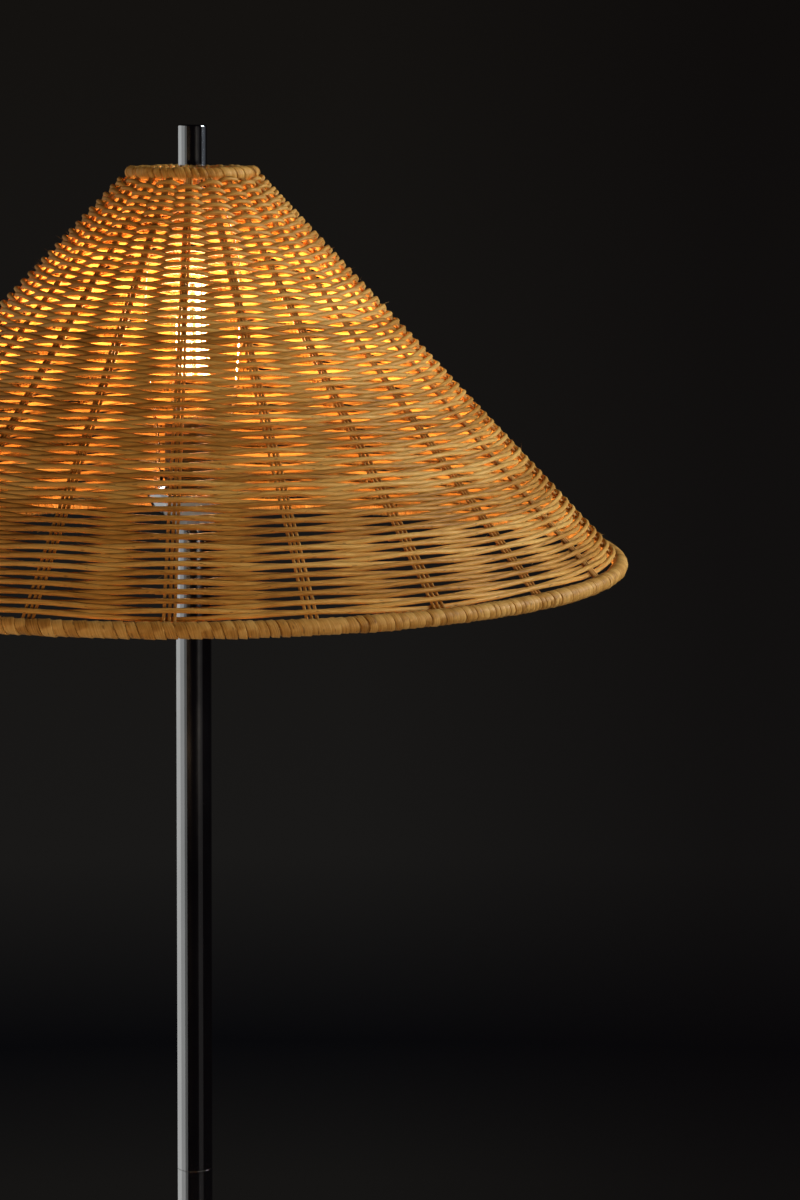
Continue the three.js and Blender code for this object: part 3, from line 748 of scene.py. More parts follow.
def strips_mesh(name: str, strips: Sequence[Strip]) -> Piece:
    """Makes one mesh of many strips, with their UV in metres and their tone.

    Strands over and under many stakes can't be drawn with an operator, so their corners are worked out.

    Args:
        name: the piece's name.
        strips: the strips.

    Returns:
        The piece.
    """
    corners, quads, ends, uvs, tones = [], [], [], [], []
    base = 0
    for strip in strips:
        rings = strip.rings()
        count, sides = rings.shape[:2]
        girth = np.linalg.norm(np.diff(rings[0], axis=0, append=rings[0][:1]), axis=1)
        around = np.concatenate([[0.0], np.cumsum(girth)])
        i, j = np.meshgrid(np.arange(count - 1), np.arange(sides), indexing="ij")
        i, j = i.ravel(), j.ravel()
        k = (j + 1) % sides
        low, high = i * sides + base, (i + 1) * sides + base
        quads.append(np.stack([low + j, low + k, high + k, high + j], 1))
        ends += [np.arange(sides)[::-1] + base, np.arange(sides) + base + (count - 1) * sides]
        us = np.stack([strip.along[i], strip.along[i], strip.along[i + 1], strip.along[i + 1]], 1)
        vs = np.stack([around[j], around[j + 1], around[j + 1], around[j]], 1)
        uvs.append(np.stack([us, vs], 2))
        corners.append(rings.reshape(-1, 3))
        tones.append(np.full(count * sides, strip.tone))
        base += count * sides
    walls = np.concatenate(quads)
    loops = np.concatenate([walls.ravel(), *ends]).astype(np.int32)
    lengths = np.concatenate([np.full(len(walls), 4), [len(e) for e in ends]])
    starts = np.concatenate([[0], np.cumsum(lengths)[:-1]]).astype(np.int32)
    mesh = bpy.data.meshes.new(name)
    points = np.concatenate(corners).astype(np.float32)
    mesh.vertices.add(len(points))
    mesh.vertices.foreach_set("co", points.ravel())
    mesh.loops.add(len(loops))
    mesh.loops.foreach_set("vertex_index", loops)
    mesh.polygons.add(len(starts))
    mesh.polygons.foreach_set("loop_start", starts)
    layer = mesh.uv_layers.new(name="strand")
    flat = np.concatenate([np.concatenate(uvs).ravel(), np.zeros(2 * sum(len(e) for e in ends))])
    layer.data.foreach_set("uv", flat.astype(np.float32))
    tone = mesh.attributes.new("tone", "FLOAT", "POINT")
    tone.data.foreach_set("value", np.concatenate(tones).astype(np.float32))
    mesh.update(calc_edges=True)
    mesh.validate()
    return settle(placed(name, mesh), 60.0)


def polar(radius: np.ndarray | float, angle: np.ndarray, height: np.ndarray | float) -> np.ndarray:
    """Points round the axis, by radius, angle and height."""
    return np.stack([radius * np.cos(angle), radius * np.sin(angle), height + 0 * angle], -1)


def sideways(angle: np.ndarray) -> np.ndarray:
    """The direction round the axis at each angle."""
    return np.stack([-np.sin(angle), np.cos(angle), 0 * angle], -1)


def round_section(radius: float | np.ndarray, sides: int, fullness: float = 1.0) -> np.ndarray:
    """The corners of a round section, one set for all the path or one for each of its points.

    Args:
        radius: the radius, or an array of radii.
        sides: the number of corners.
        fullness: 1 for a circle, and less for one that is squeezed towards a square.

    Returns:
        The corners.
    """
    angles = np.arange(sides) * TURN / sides
    circle = np.stack([np.cos(angles), np.sin(angles)], 1)
    circle = np.sign(circle) * np.abs(circle) ** fullness
    radii = np.asarray(radius, float)
    return circle * radii if radii.ndim == 0 else radii[:, None, None] * circle[None]


def wander(count: int, spacing: float, seed: int) -> np.ndarray:
    """A smooth random line between -1 and 1.

    Args:
        count: the number of points.
        spacing: the number of points between two bends.
        seed: what the line is drawn from.

    Returns:
        The heights.
    """
    knots = max(4, int(count / spacing) + 3)
    heights = np.random.default_rng(seed).uniform(-1, 1, knots)
    place = np.linspace(0, knots - 1.001, count)
    low = place.astype(int)
    share = place - low
    share = share * share * (3 - 2 * share)
    return heights[low] * (1 - share) + heights[np.minimum(low + 1, knots - 1)] * share


# Dressing


def triangles(piece: Piece) -> int:
    """Counts a piece's triangles."""
    return sum(len(p.vertices) - 2 for p in piece.data.polygons)


def dress(piece: Piece, material: Material, body: str, slot: str, *nodes: str) -> None:
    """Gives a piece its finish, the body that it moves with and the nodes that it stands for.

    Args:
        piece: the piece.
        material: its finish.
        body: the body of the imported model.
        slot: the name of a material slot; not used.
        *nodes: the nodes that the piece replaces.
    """
    piece.data.materials.clear()
    piece.data.materials.append(material)
    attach(piece, body)
    if nodes:
        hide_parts(*nodes)
    LOG.info("%s: %d triangles on %s", piece.name, triangles(piece), body)


def repaint(material: Material, *nodes: str) -> None:
    """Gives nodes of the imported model, whose shape is right, a better finish.

    Args:
        material: the finish.
        *nodes: the nodes.
    """
    for node in nodes:
        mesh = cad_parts[node].data
        mesh.materials.clear()
        mesh.materials.append(material)
        LOG.info("%s: kept, now %s", node, material.name)


class Body(str, Enum):
    """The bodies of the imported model."""

    ROOT = "root"
    SHADE = "shade"
    FINIAL = "finial"
    BULB = "bulb"
    SLEEVE_LEFT = "sleeve_left"
    SLEEVE_RIGHT = "sleeve_right"


class Finishes:
    """One material of each finish, shared by the pieces that have it."""

    def __init__(self) -> None:
        """Builds the materials."""
        # Chrome plate on a polished tube: a neutral mirror, blurred a little by wiping.
        self.chrome = Plate("chrome_polished", "#DADCE0", "#CFD2D6", 0.085, 0.03, 35 * MM).material()
        # Chrome on spun sheet: the rings of the spinning tool, drawn 2 mm apart so that they show.
        spun = Plate("chrome_spun", "#D8DADD", "#CCCFD2", 0.12, 0.04, 50 * MM, 2 * MM)
        self.chrome_spun = spun.material()
        # Zinc plate is cooler and duller than chrome, with cloudy patches.
        self.zinc = Plate("steel_zinc_plated", "#B4B9BE", "#93999F", 0.36, 0.08, 6 * MM).material()
        # Lacquered brass: warm, satin, darker where it was handled.
        self.brass = Plate("brass_satin", "#C8A65E", "#A98543", 0.28, 0.08, 9 * MM).material()
        # Cast iron under thin black paint: sand grain of about a millimetre.
        self.iron = Coat("iron_cast_painted", "#2C2D2F", "#1F2022", 0.68, 1.2 * MM, 0.5).material()
        # Pressed wool felt: matt, with lint.
        self.felt = Coat("felt_pressed", "#37373A", "#242427", 0.95, 0.8 * MM, 0.6, sheen=0.4).material()
        # Moulded rubber: matt black with a dusty bloom.
        self.rubber = Coat("rubber_moulded", "#1E1E1F", "#161617", 0.72, 0.7 * MM, 0.15).material()
        # Moulded phenolic: near black, glossy, with faint flow marks.
        phenolic = Coat("phenolic_moulded", "#171717", "#0F0F10", 0.3, 5 * MM, 0.04, index=1.63)
        self.phenolic = phenolic.material()
        # Glazed steatite: warm white under a smooth glaze.
        ceramic = Coat("steatite_glazed", "#EDE9E0", "#E0DACD", 0.22, 4 * MM, 0.05, index=1.52)
        self.ceramic = ceramic.material()
        # Black glass of the bulb's foot.
        black = Coat("glass_black_pressed", "#0E0E10", "#151518", 0.12, 3 * MM, 0.03, index=1.52)
        self.black_glass = black.material()
        # Nickel plated bulb cap: paler than zinc and a little yellow.
        self.nickel = Plate("nickel_plated_cap", "#CFC9BC", "#B3AD9F", 0.22, 0.06, 7 * MM).material()
        self.glass = ClearGlass().material()
        self.filament = LitFilament().material()
        # Peeled core strand: honey brown, satin, with fibres drawn 0.7 mm wide so that they show.
        strand = ("rattan_core_strand", "#996829", "#C89142", "#E2B564", 0.55, 0.7 * MM)
        self.strand = RattanCane(*strand, relief=0.45).material()
        # Reeds of the stakes: the same core, a little browner and drier.
        reed = RattanCane("rattan_core_reed", "#91622A", "#BD873E", "#D6A65A", 0.58, 0.5 * MM)
        self.reed = reed.material()
        # Outer peel: paler, harder and glossier, with fine close fibres.
        peel = ("rattan_outer_peel", "#8C5E26", "#C28F45", "#E0B468", 0.5, 0.6 * MM)
        self.peel = RattanCane(*peel, relief=0.7).material()


# Sub-assemblies


@dataclass
class Foot:
    """The base: felt pad, iron weight and a spun cover with a bush for the lead."""

    radius: float = 150 * MM
    wall: float = 1.2 * MM
    edge: float = 4 * MM
    top: float = 19.4 * MM
    dome: float = 1.6 * MM
    floor_gap: float = 1 * MM
    hole: float = 5.3 * MM
    seat: float = 12.9 * MM
    outlet_height: float = 7 * MM
    outlet_bore: float = 2.6 * MM
    outlet_neck: float = 3.6 * MM
    outlet_flange: float = 5.1 * MM
    neck_half: float = 1.45 * MM
    flange_half: float = 2.6 * MM
    drill_gap: float = 0.3 * MM
    drill_length: float = 20 * MM

    def cover(self) -> Piece:
        """Spins the cover: skirt, round edge and a low dome, with a hole for the bush.

        Returns:
            The cover.
        """
        edge_z = self.top - self.dome - self.edge
        edge_r = self.radius - self.edge
        arc = quarter((edge_r, edge_z), (self.edge, self.edge), 8)
        run = edge_r - self.seat
        crown = [
            (edge_r - run * s, self.top - self.dome + self.dome * (1 - (1 - s) ** 2))
            for s in np.linspace(0, 1, 13)[1:]
        ]
        line = [(self.radius, self.floor_gap), *arc, *crown, (self.hole, self.top)]
        cover = turn("cover_spun", walled(line, self.wall), 144)
        place, turned = (0, self.radius, self.outlet_height), (math.pi / 2, 0, 0)
        reach = self.outlet_neck + self.drill_gap
        drill = cylinder("outlet_drill", reach, self.drill_length, place, turned, 32)
        return settle(cut_with(cover, drill))

    def outlet(self) -> Piece:
        """Turns the bush and lays it in the skirt's hole.

        Returns:
            The bush.
        """
        flange = self.flange_half - self.neck_half
        half = [
            (self.outlet_bore, 0.0),
            (self.outlet_flange, 0.0),
            (self.outlet_flange, flange),
            (self.outlet_neck, flange),
        ]
        outline = mirrored(half, -self.flange_half, self.flange_half)
        bush = turn("outlet_bush", eased(outline, 0.5 * MM), 48)
        place = Matrix.Translation((0, self.radius - self.wall / 2, self.outlet_height))
        bush.data.transform(place @ Matrix.Rotation(-math.pi / 2, 4, "X"))
        return bush

    def build(self, finishes: Finishes) -> None:
        """Builds and dresses the base.

        Args:
            finishes: the shared materials.
        """
        dress(self.cover(), finishes.chrome_spun, Body.ROOT, "chrome", "base_cover")
        dress(self.outlet(), finishes.rubber, Body.ROOT, "black_rubber", "cord_outlet")
        repaint(finishes.felt, "base_pad")
        repaint(finishes.iron, "base_weight")
        repaint(finishes.zinc, "base_washer", "base_nipple")
        repaint(finishes.brass, "base_nut")


@dataclass
class Pole:
    """Two lengths of polished tube, screwed together on a threaded nipple."""

    radius: float = 12.5 * MM
    bore: float = 11.3 * MM
    hole: float = 5.3 * MM
    insert: float = 20 * MM
    bottom: float = 19.7 * MM
    joint: float = 768.7 * MM
    gap: float = 0.3 * MM
    top: float = 1222.7 * MM
    end_round: float = 0.06 * MM

    def tube(self, name: str, bottom: float, top: float) -> Piece:
        """Turns one length of tube with its inserts.

        Args:
            name: the piece's name.
            bottom: the height of its lower end.
            top: the height of its upper end.

        Returns:
            The tube.
        """
        outside = [(self.radius, bottom), (self.radius, top)]
        half = [(self.hole, 0.0), (self.hole, self.insert), (self.bore, self.insert)]
        inside = mirrored(half, bottom, top)[::-1]
        return turn(name, eased(outside + inside, self.end_round), 96)

    def build(self, finishes: Finishes) -> None:
        """Builds and dresses the pole.

        Args:
            finishes: the shared materials.
        """
        lower = self.tube("tube_lower", self.bottom, self.joint)
        upper = self.tube("tube_upper", self.joint + self.gap, self.top)
        dress(lower, finishes.chrome, Body.ROOT, "chrome", "pole_lower")
        dress(upper, finishes.chrome, Body.ROOT, "chrome", "pole_upper")
        repaint(finishes.zinc, "pole_joint_nipple", "top_nipple")


@dataclass
class Holder:
    """The cup on top of the pole and the moulded lamp holder in it."""

    cup_bottom: float = 1223.0 * MM
    cup_foot: float = 12.9 * MM
    cup_belt: Point = (28.75 * MM, 13 * MM)
    cup_rim: Point = (32.65 * MM, 26.2 * MM)
    cup_wall: float = 1 * MM
    hole: float = 5.3 * MM
    radius: float = 19.5 * MM
    bore: float = 17.3 * MM
    bottom: float = 1229.4 * MM
    split: float = 1259.4 * MM
    shell_bottom: float = 1259.7 * MM
    top: float = 1297.7 * MM
    neck: float = 8.3 * MM
    neck_height: float = 5 * MM
    dome_height: float = 12 * MM
    ledge: float = 15 * MM
    ledge_height: float = 18.7 * MM
    lip: float = 14.6 * MM
    lip_height: float = 4 * MM
    grooves: int = 3
    groove: float = 0.6 * MM
    groove_start: float = 6 * MM
    groove_pitch: float = 3.2 * MM
    groove_floor: Point = (0.4 * MM, 1.2 * MM)
    groove_width: float = 1.6 * MM

    def cup(self) -> Piece:
        """Spins the cup: flat foot, cone, belt and a rolled rim.

        Returns:
            The cup.
        """
        start = ((self.cup_foot + self.cup_belt[0]) / 2, self.cup_belt[1] / 2)
        curve = bezier([start, self.cup_belt, self.cup_rim], 16)
        line = [(self.hole, 0.0), (self.cup_foot, 0.0), *curve]
        lifted = [(r, z + self.cup_bottom) for r, z in line]
        return turn("cup_spun", eased(walled(lifted, self.cup_wall), 0.4 * MM), 96)

    def cap(self) -> Piece:
        """Turns the holder's cap: neck, dome and wall, hollow over the terminal block.

        Returns:
            The cap.
        """
        start = self.bottom + self.neck_height
        centre = (self.neck, start + self.dome_height)
        dome = quarter(centre, (self.radius - self.neck, -self.dome_height), 12)[::-1]
        outline = [
            (self.hole, self.bottom),
            (self.neck, self.bottom),
            *dome,
            (self.radius, self.split),
            (self.bore, self.split),
            (self.bore, self.bottom + self.ledge_height),
            (self.ledge, self.bottom + self.ledge_height),
            (self.hole, start),
        ]
        return turn("holder_cap_moulded", eased(outline, 0.5 * MM), 64)

    def shell(self) -> Piece:
        """Turns the holder's shell, with grip grooves and a rounded mouth.

        Returns:
            The shell.
        """
        grooves: list[Point] = []
        for i in range(self.grooves):
            z = self.shell_bottom + self.groove_start + i * self.groove_pitch
            floor = [(self.radius - self.groove, z + up) for up in self.groove_floor]
            grooves += [(self.radius, z), *floor, (self.radius, z + self.groove_width)]
        outline = [
            (self.bore, self.shell_bottom),
            (self.radius, self.shell_bottom),
            *grooves,
            (self.radius, self.top),
            (self.lip, self.top),
            (self.lip, self.top - self.lip_height),
            (self.bore, self.top - self.lip_height),
        ]
        return turn("holder_shell_moulded", eased(outline, 0.7 * MM), 64)

    def build(self, finishes: Finishes) -> None:
        """Builds and dresses the cup and the holder.

        Args:
            finishes: the shared materials.
        """
        dress(self.cup(), finishes.chrome_spun, Body.ROOT, "chrome", "holder_cup")
        dress(self.cap(), finishes.phenolic, Body.ROOT, "black_phenolic", "holder_cap")
        dress(self.shell(), finishes.phenolic, Body.ROOT, "black_phenolic", "holder_shell")
        repaint(finishes.ceramic, "terminal_block")
        repaint(finishes.brass, "lock_nut", "contact_plate", "thread_sleeve")


@dataclass
class Bulb:
    """A clear tube bulb with upright filaments on a screw cap."""

    cap_radius: float = 13.2 * MM
    cap_bottom: float = 1272.7 * MM
    cap_length: float = 21.3 * MM
    thread_pitch: float = 3.629 * MM
    thread_depth: float = 0.85 * MM
    thread_fade: float = 3 * MM
    glass_bottom: float = 1294.3 * MM
    glass_length: float = 110 * MM
    glass_radius: float = 16 * MM
    glass_wall: float = 0.8 * MM
    neck_radius: float = 12.9 * MM
    neck_length: float = 6 * MM
    shoulder: float = 12 * MM
    stem_foot: float = 8 * MM
    stem_height: float = 14 * MM
    stem_rod: float = 1.6 * MM
    star_low: float = 1332.8 * MM
    star_high: float = 1392.6 * MM
    star_thick: float = 0.8 * MM
    star_hub: float = 3.1 * MM
    star_hole: float = 1.9 * MM
    filament_circle: float = 7.5 * MM
    filament_radius: float = 1 * MM
    filaments: int = 6
    arm_weld: float = 0.6 * MM

    def cap(self) -> Piece:
        """Rolls the thread into the cap. No operator follows the helix, so its corners are worked out.

        Returns:
            The cap.
        """
        around, up = 48, 72
        angles = np.arange(around) * TURN / around
        heights = np.linspace(0, self.cap_length, up)
        height, angle = np.meshgrid(heights, angles, indexing="ij")
        wave = 0.5 - 0.5 * np.cos(TURN * height / self.thread_pitch - angle)
        fade = np.clip(np.minimum(height, self.cap_length - height) / self.thread_fade, 0, 1)
        radius = self.cap_radius - self.thread_depth * (1 - wave * fade)
        corners = polar(radius, angle, height + self.cap_bottom)
        faces = []
        for low in range(0, (up - 1) * around, around):
            high = low + around
            for j in range(around):
                k = (j + 1) % around
                faces.append((low + j, low + k, high + k, high + j))
        faces += [tuple(range(around))[::-1], tuple(range((up - 1) * around, up * around))]
        mesh = bpy.data.meshes.new("cap_threaded")
        mesh.from_pydata(corners.reshape(-1, 3).tolist(), [], faces)
        return settle(placed("cap_threaded", mesh), 50.0)

    def glass(self) -> Piece:
        """Blows the glass: neck, shoulder, straight tube and round end.

        Returns:
            The glass.
        """
        low = self.glass_bottom + self.neck_length
        middle, high = low + self.shoulder / 2, low + self.shoulder
        corners = [(self.neck_radius, low), (self.neck_radius, middle), (self.glass_radius, middle)]
        shoulder = bezier([*corners, (self.glass_radius, high)], 10)
        centre = self.glass_bottom + self.glass_length - self.glass_radius
        dome = quarter((0.0, centre), (self.glass_radius, self.glass_radius), 12)
        dome[-1] = (0.0, dome[-1][1])
        line = [(self.neck_radius, self.glass_bottom), *shoulder, *dome]
        return turn("glass_blown", walled(line, self.glass_wall), 64)

    def stem(self) -> Piece:
        """Draws the stem: a flared foot and the rod between the stars.

        Returns:
            The stem.
        """
        bottom = self.glass_bottom + 0.3 * MM
        centre = (self.stem_foot, bottom + self.stem_height)
        flare = quarter(centre, (self.stem_rod - self.stem_foot, -self.stem_height), 10)[::-1]
        top = self.star_high + self.star_thick + 0.3 * MM
        rod = eased([(self.stem_rod, top), (0.0, top)], 0.5 * MM, loop=False)
        return turn("stem_drawn", [(0.0, bottom), *flare, *rod], 40)

    def filament(self) -> Piece:
        """Welds the upright filaments between two stars, each upright with its two arms.

        Returns:
            The filament cage.
        """
        pieces = []
        half = [(self.star_hole, 0.0), (self.star_hub, 0.0)]
        for bottom in (self.star_low, self.star_high):
            outline = mirrored(half, bottom, bottom + self.star_thick)
            pieces.append(turn("star_hub", eased(outline, 0.15 * MM), 32))
        reach = self.filament_circle - self.star_hub
        middle = (self.star_low + self.star_high + self.star_thick) / 2
        length = self.star_high + self.star_thick - self.star_low
        stands, lies = (self.filament_circle, 0, middle), (0, math.pi / 2, 0)
        for i in range(self.filaments):
            turned = Matrix.Rotation(i * TURN / self.filaments, 4, "Z")
            upright = cylinder("filament_upright", self.filament_radius, length, stands, (0, 0, 0), 16)
            settle(upright)
            for z in (self.star_low, self.star_high):
                place = (self.star_hub + reach / 2, 0, z + self.star_thick / 2)
                arm = cylinder("star_arm", self.star_thick / 2, reach + self.arm_weld, place, lies, 10)
                settle(arm).data.transform(turned)
                pieces.append(arm)
            upright.data.transform(turned)
            pieces.append(bevelled(upright, 0.3 * MM, 60.0))
        return join("filament_cage", pieces)

    def build(self, finishes: Finishes) -> None:
        """Builds and dresses the bulb.

        Args:
            finishes: the shared materials.
        """
        dress(self.cap(), finishes.nickel, Body.BULB, "zinc_steel", "bulb_cap")
        dress(self.glass(), finishes.glass, Body.BULB, "clear_glass", "bulb_glass")
        dress(self.stem(), finishes.glass, Body.BULB, "clear_glass", "bulb_stem")
        dress(self.filament(), finishes.filament, Body.BULB, "filament", "bulb_filaments")
        repaint(finishes.black_glass, "bulb_insulator")
        repaint(finishes.zinc, "bulb_contact")


@dataclass
class Harp:
    """The saddle, the bent wire, its two locking sleeves and the stud that carries the shade."""

    foot: float = 23.92 * MM
    bottom: float = 1257.3 * MM
    straight_top: float = 1271.3 * MM
    belly: float = 33 * MM
    belly_height: float = 1378.3 * MM
    top: float = 1459.6 * MM
    wire: float = 1.4 * MM
    sleeve_bottom: float = 1251.3 * MM
    sleeve_length: float = 12 * MM
    sleeve_radius: float = 3.52 * MM
    sleeve_bore: float = 2.62 * MM
    sleeve_waist: float = 0.25 * MM
    sleeve_roll: Point = (1.6 * MM, 2.2 * MM)
    stud_body: float = 6 * MM
    stud_flange: float = 9 * MM
    stud_radius: float = 3.1 * MM
    stud_bottom: float = 1458.2 * MM
    flange_bottom: float = 1463.6 * MM
    flange_top: float = 1466.3 * MM
    stud_top: float = 1480.6 * MM
    slot_half: float = 1.7 * MM
    slot_over: float = 4 * MM
    thread_start: float = 4 * MM
    thread_end: float = 1.2 * MM
    thread_pitch: float = 0.94 * MM
    thread_depth: float = 0.35 * MM
    thread_tip: float = 0.4 * MM
    round_share: float = 0.5523

    def knots(self) -> list[Knot]:
        """Places the knots of the wire and their handles, from the left foot to the right.

        Returns:
            The knots.
        """
        pull = (self.belly_height - self.straight_top) / 3
        third = (self.straight_top - self.bottom) / 3
        rise = self.round_share * (self.top - self.belly_height)
        left = [
            (self.foot, self.bottom, self.bottom - third, self.bottom + third),
            (self.foot, self.straight_top, self.straight_top - third, self.straight_top + pull),
            (self.belly, self.belly_height, self.belly_height - 2 * pull, self.belly_height + rise),
        ]
        made = [((-x, 0, z), (-x, 0, before), (-x, 0, after)) for x, z, before, after in left]
        over = self.round_share * self.belly
        made.append(((0, 0, self.top), (-over, 0, self.top), (over, 0, self.top)))
        made += [((x, 0, z), (x, 0, after), (x, 0, before)) for x, z, before, after in left[::-1]]
        return made

    def sleeve(self, name: str, side: int) -> Piece:
        """Turns a locking sleeve with rolled ends and sets it round the wire's foot.

        Args:
            name: the piece's name.
            side: -1 for the left foot, 1 for the right.

        Returns:
            The sleeve.
        """
        bottom, top = self.sleeve_bottom, self.sleeve_bottom + self.sleeve_length
        waist = self.sleeve_radius - self.sleeve_waist
        roll, neck = self.sleeve_roll
        half = [
            (self.sleeve_bore, 0.0),
            (self.sleeve_radius, 0.0),
            (self.sleeve_radius, roll),
            (waist, neck),
        ]
        made = turn(name, eased(mirrored(half, bottom, top), 0.35 * MM), 40)
        made.data.transform(Matrix.Translation((side * self.foot, 0, 0)))
        return made

    def stud(self) -> Piece:
        """Turns the stud, cuts the threads on its shank and slots it over the wire.

        Returns:
            The stud.
        """
        threads: list[Point] = []
        root = self.stud_radius - self.thread_depth
        z = self.flange_top + self.thread_start
        while z < self.stud_top - self.thread_end:
            threads += [(self.stud_radius, z), (root, z + self.thread_pitch / 2)]
            z += self.thread_pitch
        outline = [
            (0.0, self.stud_bottom),
            (self.stud_body, self.stud_bottom),
            (self.stud_body, self.flange_bottom),
            (self.stud_flange, self.flange_bottom),
            (self.stud_flange, self.flange_top),
            (self.stud_radius, self.flange_top),
        ]
        ends = [(self.stud_radius - self.thread_tip, self.stud_top), (0.0, self.stud_top)]
        made = turn("stud_turned", [*eased(outline, 0.5 * MM, loop=False), *threads, *ends], 48)
        top, low = self.top + self.slot_half, self.stud_bottom - self.slot_over
        sizes = (4 * self.stud_flange, 2 * self.slot_half, top - low)
        deselect()
        bpy.ops.mesh.primitive_cube_add(size=1, location=(0, 0, (top + low) / 2), scale=sizes)
        return settle(cut_with(made, named("slot_cutter")))

    def build(self, finishes: Finishes) -> None:
        """Builds and dresses the harp.

        Args:
            finishes: the shared materials.
        """
        saddle = bevelled(from_node("saddle_strip", "harp_saddle"), 0.3 * MM)
        dress(saddle, finishes.chrome, Body.ROOT, "chrome", "harp_saddle")
        wire = bent_wire("wire_bent", self.knots(), self.wire, 20)
        dress(wire, finishes.chrome, Body.ROOT, "chrome", "harp_wire")
        left = self.sleeve("sleeve_rolled_left", -1)
        right = self.sleeve("sleeve_rolled_right", 1)
        dress(left, finishes.chrome, Body.SLEEVE_LEFT, "chrome", "harp_sleeve_left")
        dress(right, finishes.chrome, Body.SLEEVE_RIGHT, "chrome", "harp_sleeve_right")
        dress(self.stud(), finishes.chrome, Body.ROOT, "chrome", "harp_stud")


def hoop(name: str, ring: float, height: float, radius: float, steps: int = 240, sides: int = 14) -> Piece:
    """Bends a cane into a ring round the axis.

    Args:
        name: the piece's name.
        ring: the ring's radius.
        height: its height.
        radius: the cane's radius.
        steps: the number of points round the ring, with the first one twice.
        sides: the number of corners of the cane's section.

    Returns:
        The ring.
    """
    angles = np.linspace(0, TURN, steps)
    upward = np.tile([0.0, 0.0, 1.0], (len(angles), 1))
    # The cane's tone is fixed at 0.1, darker than most turns of peel; where it shows in the grooves of a
    # wrapping, this darkening is painted shade.
    return strips_mesh(name, [Strip(polar(ring, angles, height), upward, round_section(radius, sides), 0.1)])


# Sections of a turn of peel from side to side, as half widths across and thicknesses outwards.
DOMED = ((-1, -0.5), (-0.93, 0.0), (-0.6, 0.36), (0, 0.5), (0.6, 0.36), (0.93, 0.0), (1, -0.5))
LAPPED = ((-1, -0.5), (-0.95, 0.0), (-0.78, 0.2), (0, 0.28), (0.7, 0.46), (0.92, 0.36), (1, -0.5))


@dataclass
class Wrapping:
    """Peel wound round a ring in close turns, over a plain roll that fills the grooves.

    A turn may bow and lean along the ring, and stand and sway by a share of its thickness and pitch. Turns
    may crowd at two places that face each other, and they are the widest between them.
    """

    ring: float
    height: float
    roll: float
    wraps: int
    thick: float
    bow: float
    lean: float
    rough: float
    profile: tuple[Point, ...]
    seed: int
    crowding: float = 0.0
    widest: float = math.radians(-125)
    around: int = 22
    half_width: float = 0.485
    sway: float = 0.4
    stand: float = 1.3
    sunk: float = 0.85
    tones: Point = (0.1, 0.95)

    def peel(self, name: str) -> Piece:
        """Winds the peel: each turn leans, bows and differs a little, and the turns crowd at two places.

        Args:
            name: the piece's name.

        Returns:
            The peel.
        """
        rng = np.random.default_rng(self.seed)
        pitch = TURN * self.ring / self.wraps
        count = self.wraps * self.around + 1
        winding = np.linspace(0, self.wraps, count)
        turns = np.arange(self.wraps + 1)
        uneven, proud = (np.interp(winding, turns, rng.uniform(-1, 1, self.wraps + 1)) for _ in range(2))
        tilt = TURN * winding
        lead = self.bow * np.cos(tilt) + self.lean * np.sin(tilt) + self.sway * self.rough * pitch * proud
        course = TURN * winding / self.wraps
        angle = course + self.crowding / 2 * np.sin(2 * (course - self.widest)) + lead / self.ring
        spacing = pitch * (1 + self.crowding * np.cos(2 * (course - self.widest)))
        middle = self.roll - self.thick / 2 + self.stand * self.rough * self.thick * proud
        radius = self.ring + middle * np.cos(tilt)
        line = polar(radius, angle, self.height - middle * np.sin(tilt))
        width = self.half_width * spacing * (1 + self.rough * uneven)
        profile = np.array(self.profile)[::-1]
        across = profile[None, :, 0] * width[:, None]
        inward = -profile[None, :, 1] * self.thick + 0 * width[:, None]
        made = strips_mesh(name, [Strip(line, sideways(angle), np.stack([across, inward], 2), 0.5)])
        tones = np.repeat(rng.uniform(*self.tones, self.wraps + 1), self.around)[:count]
        values = np.repeat(tones, len(profile)).astype(np.float32)
        made.data.attributes["tone"].data.foreach_set("value", values)
        return made

    def build(self, name: str) -> Piece:
        """Winds the peel and lays the roll under it."""
        # The roll shows only in the grooves between turns, and its low tone darkens them as painted shade.
        under = hoop(name + "_under", self.ring, self.height, self.roll - self.sunk * self.thick)
        return join(name, [self.peel(name + "_peel"), under])


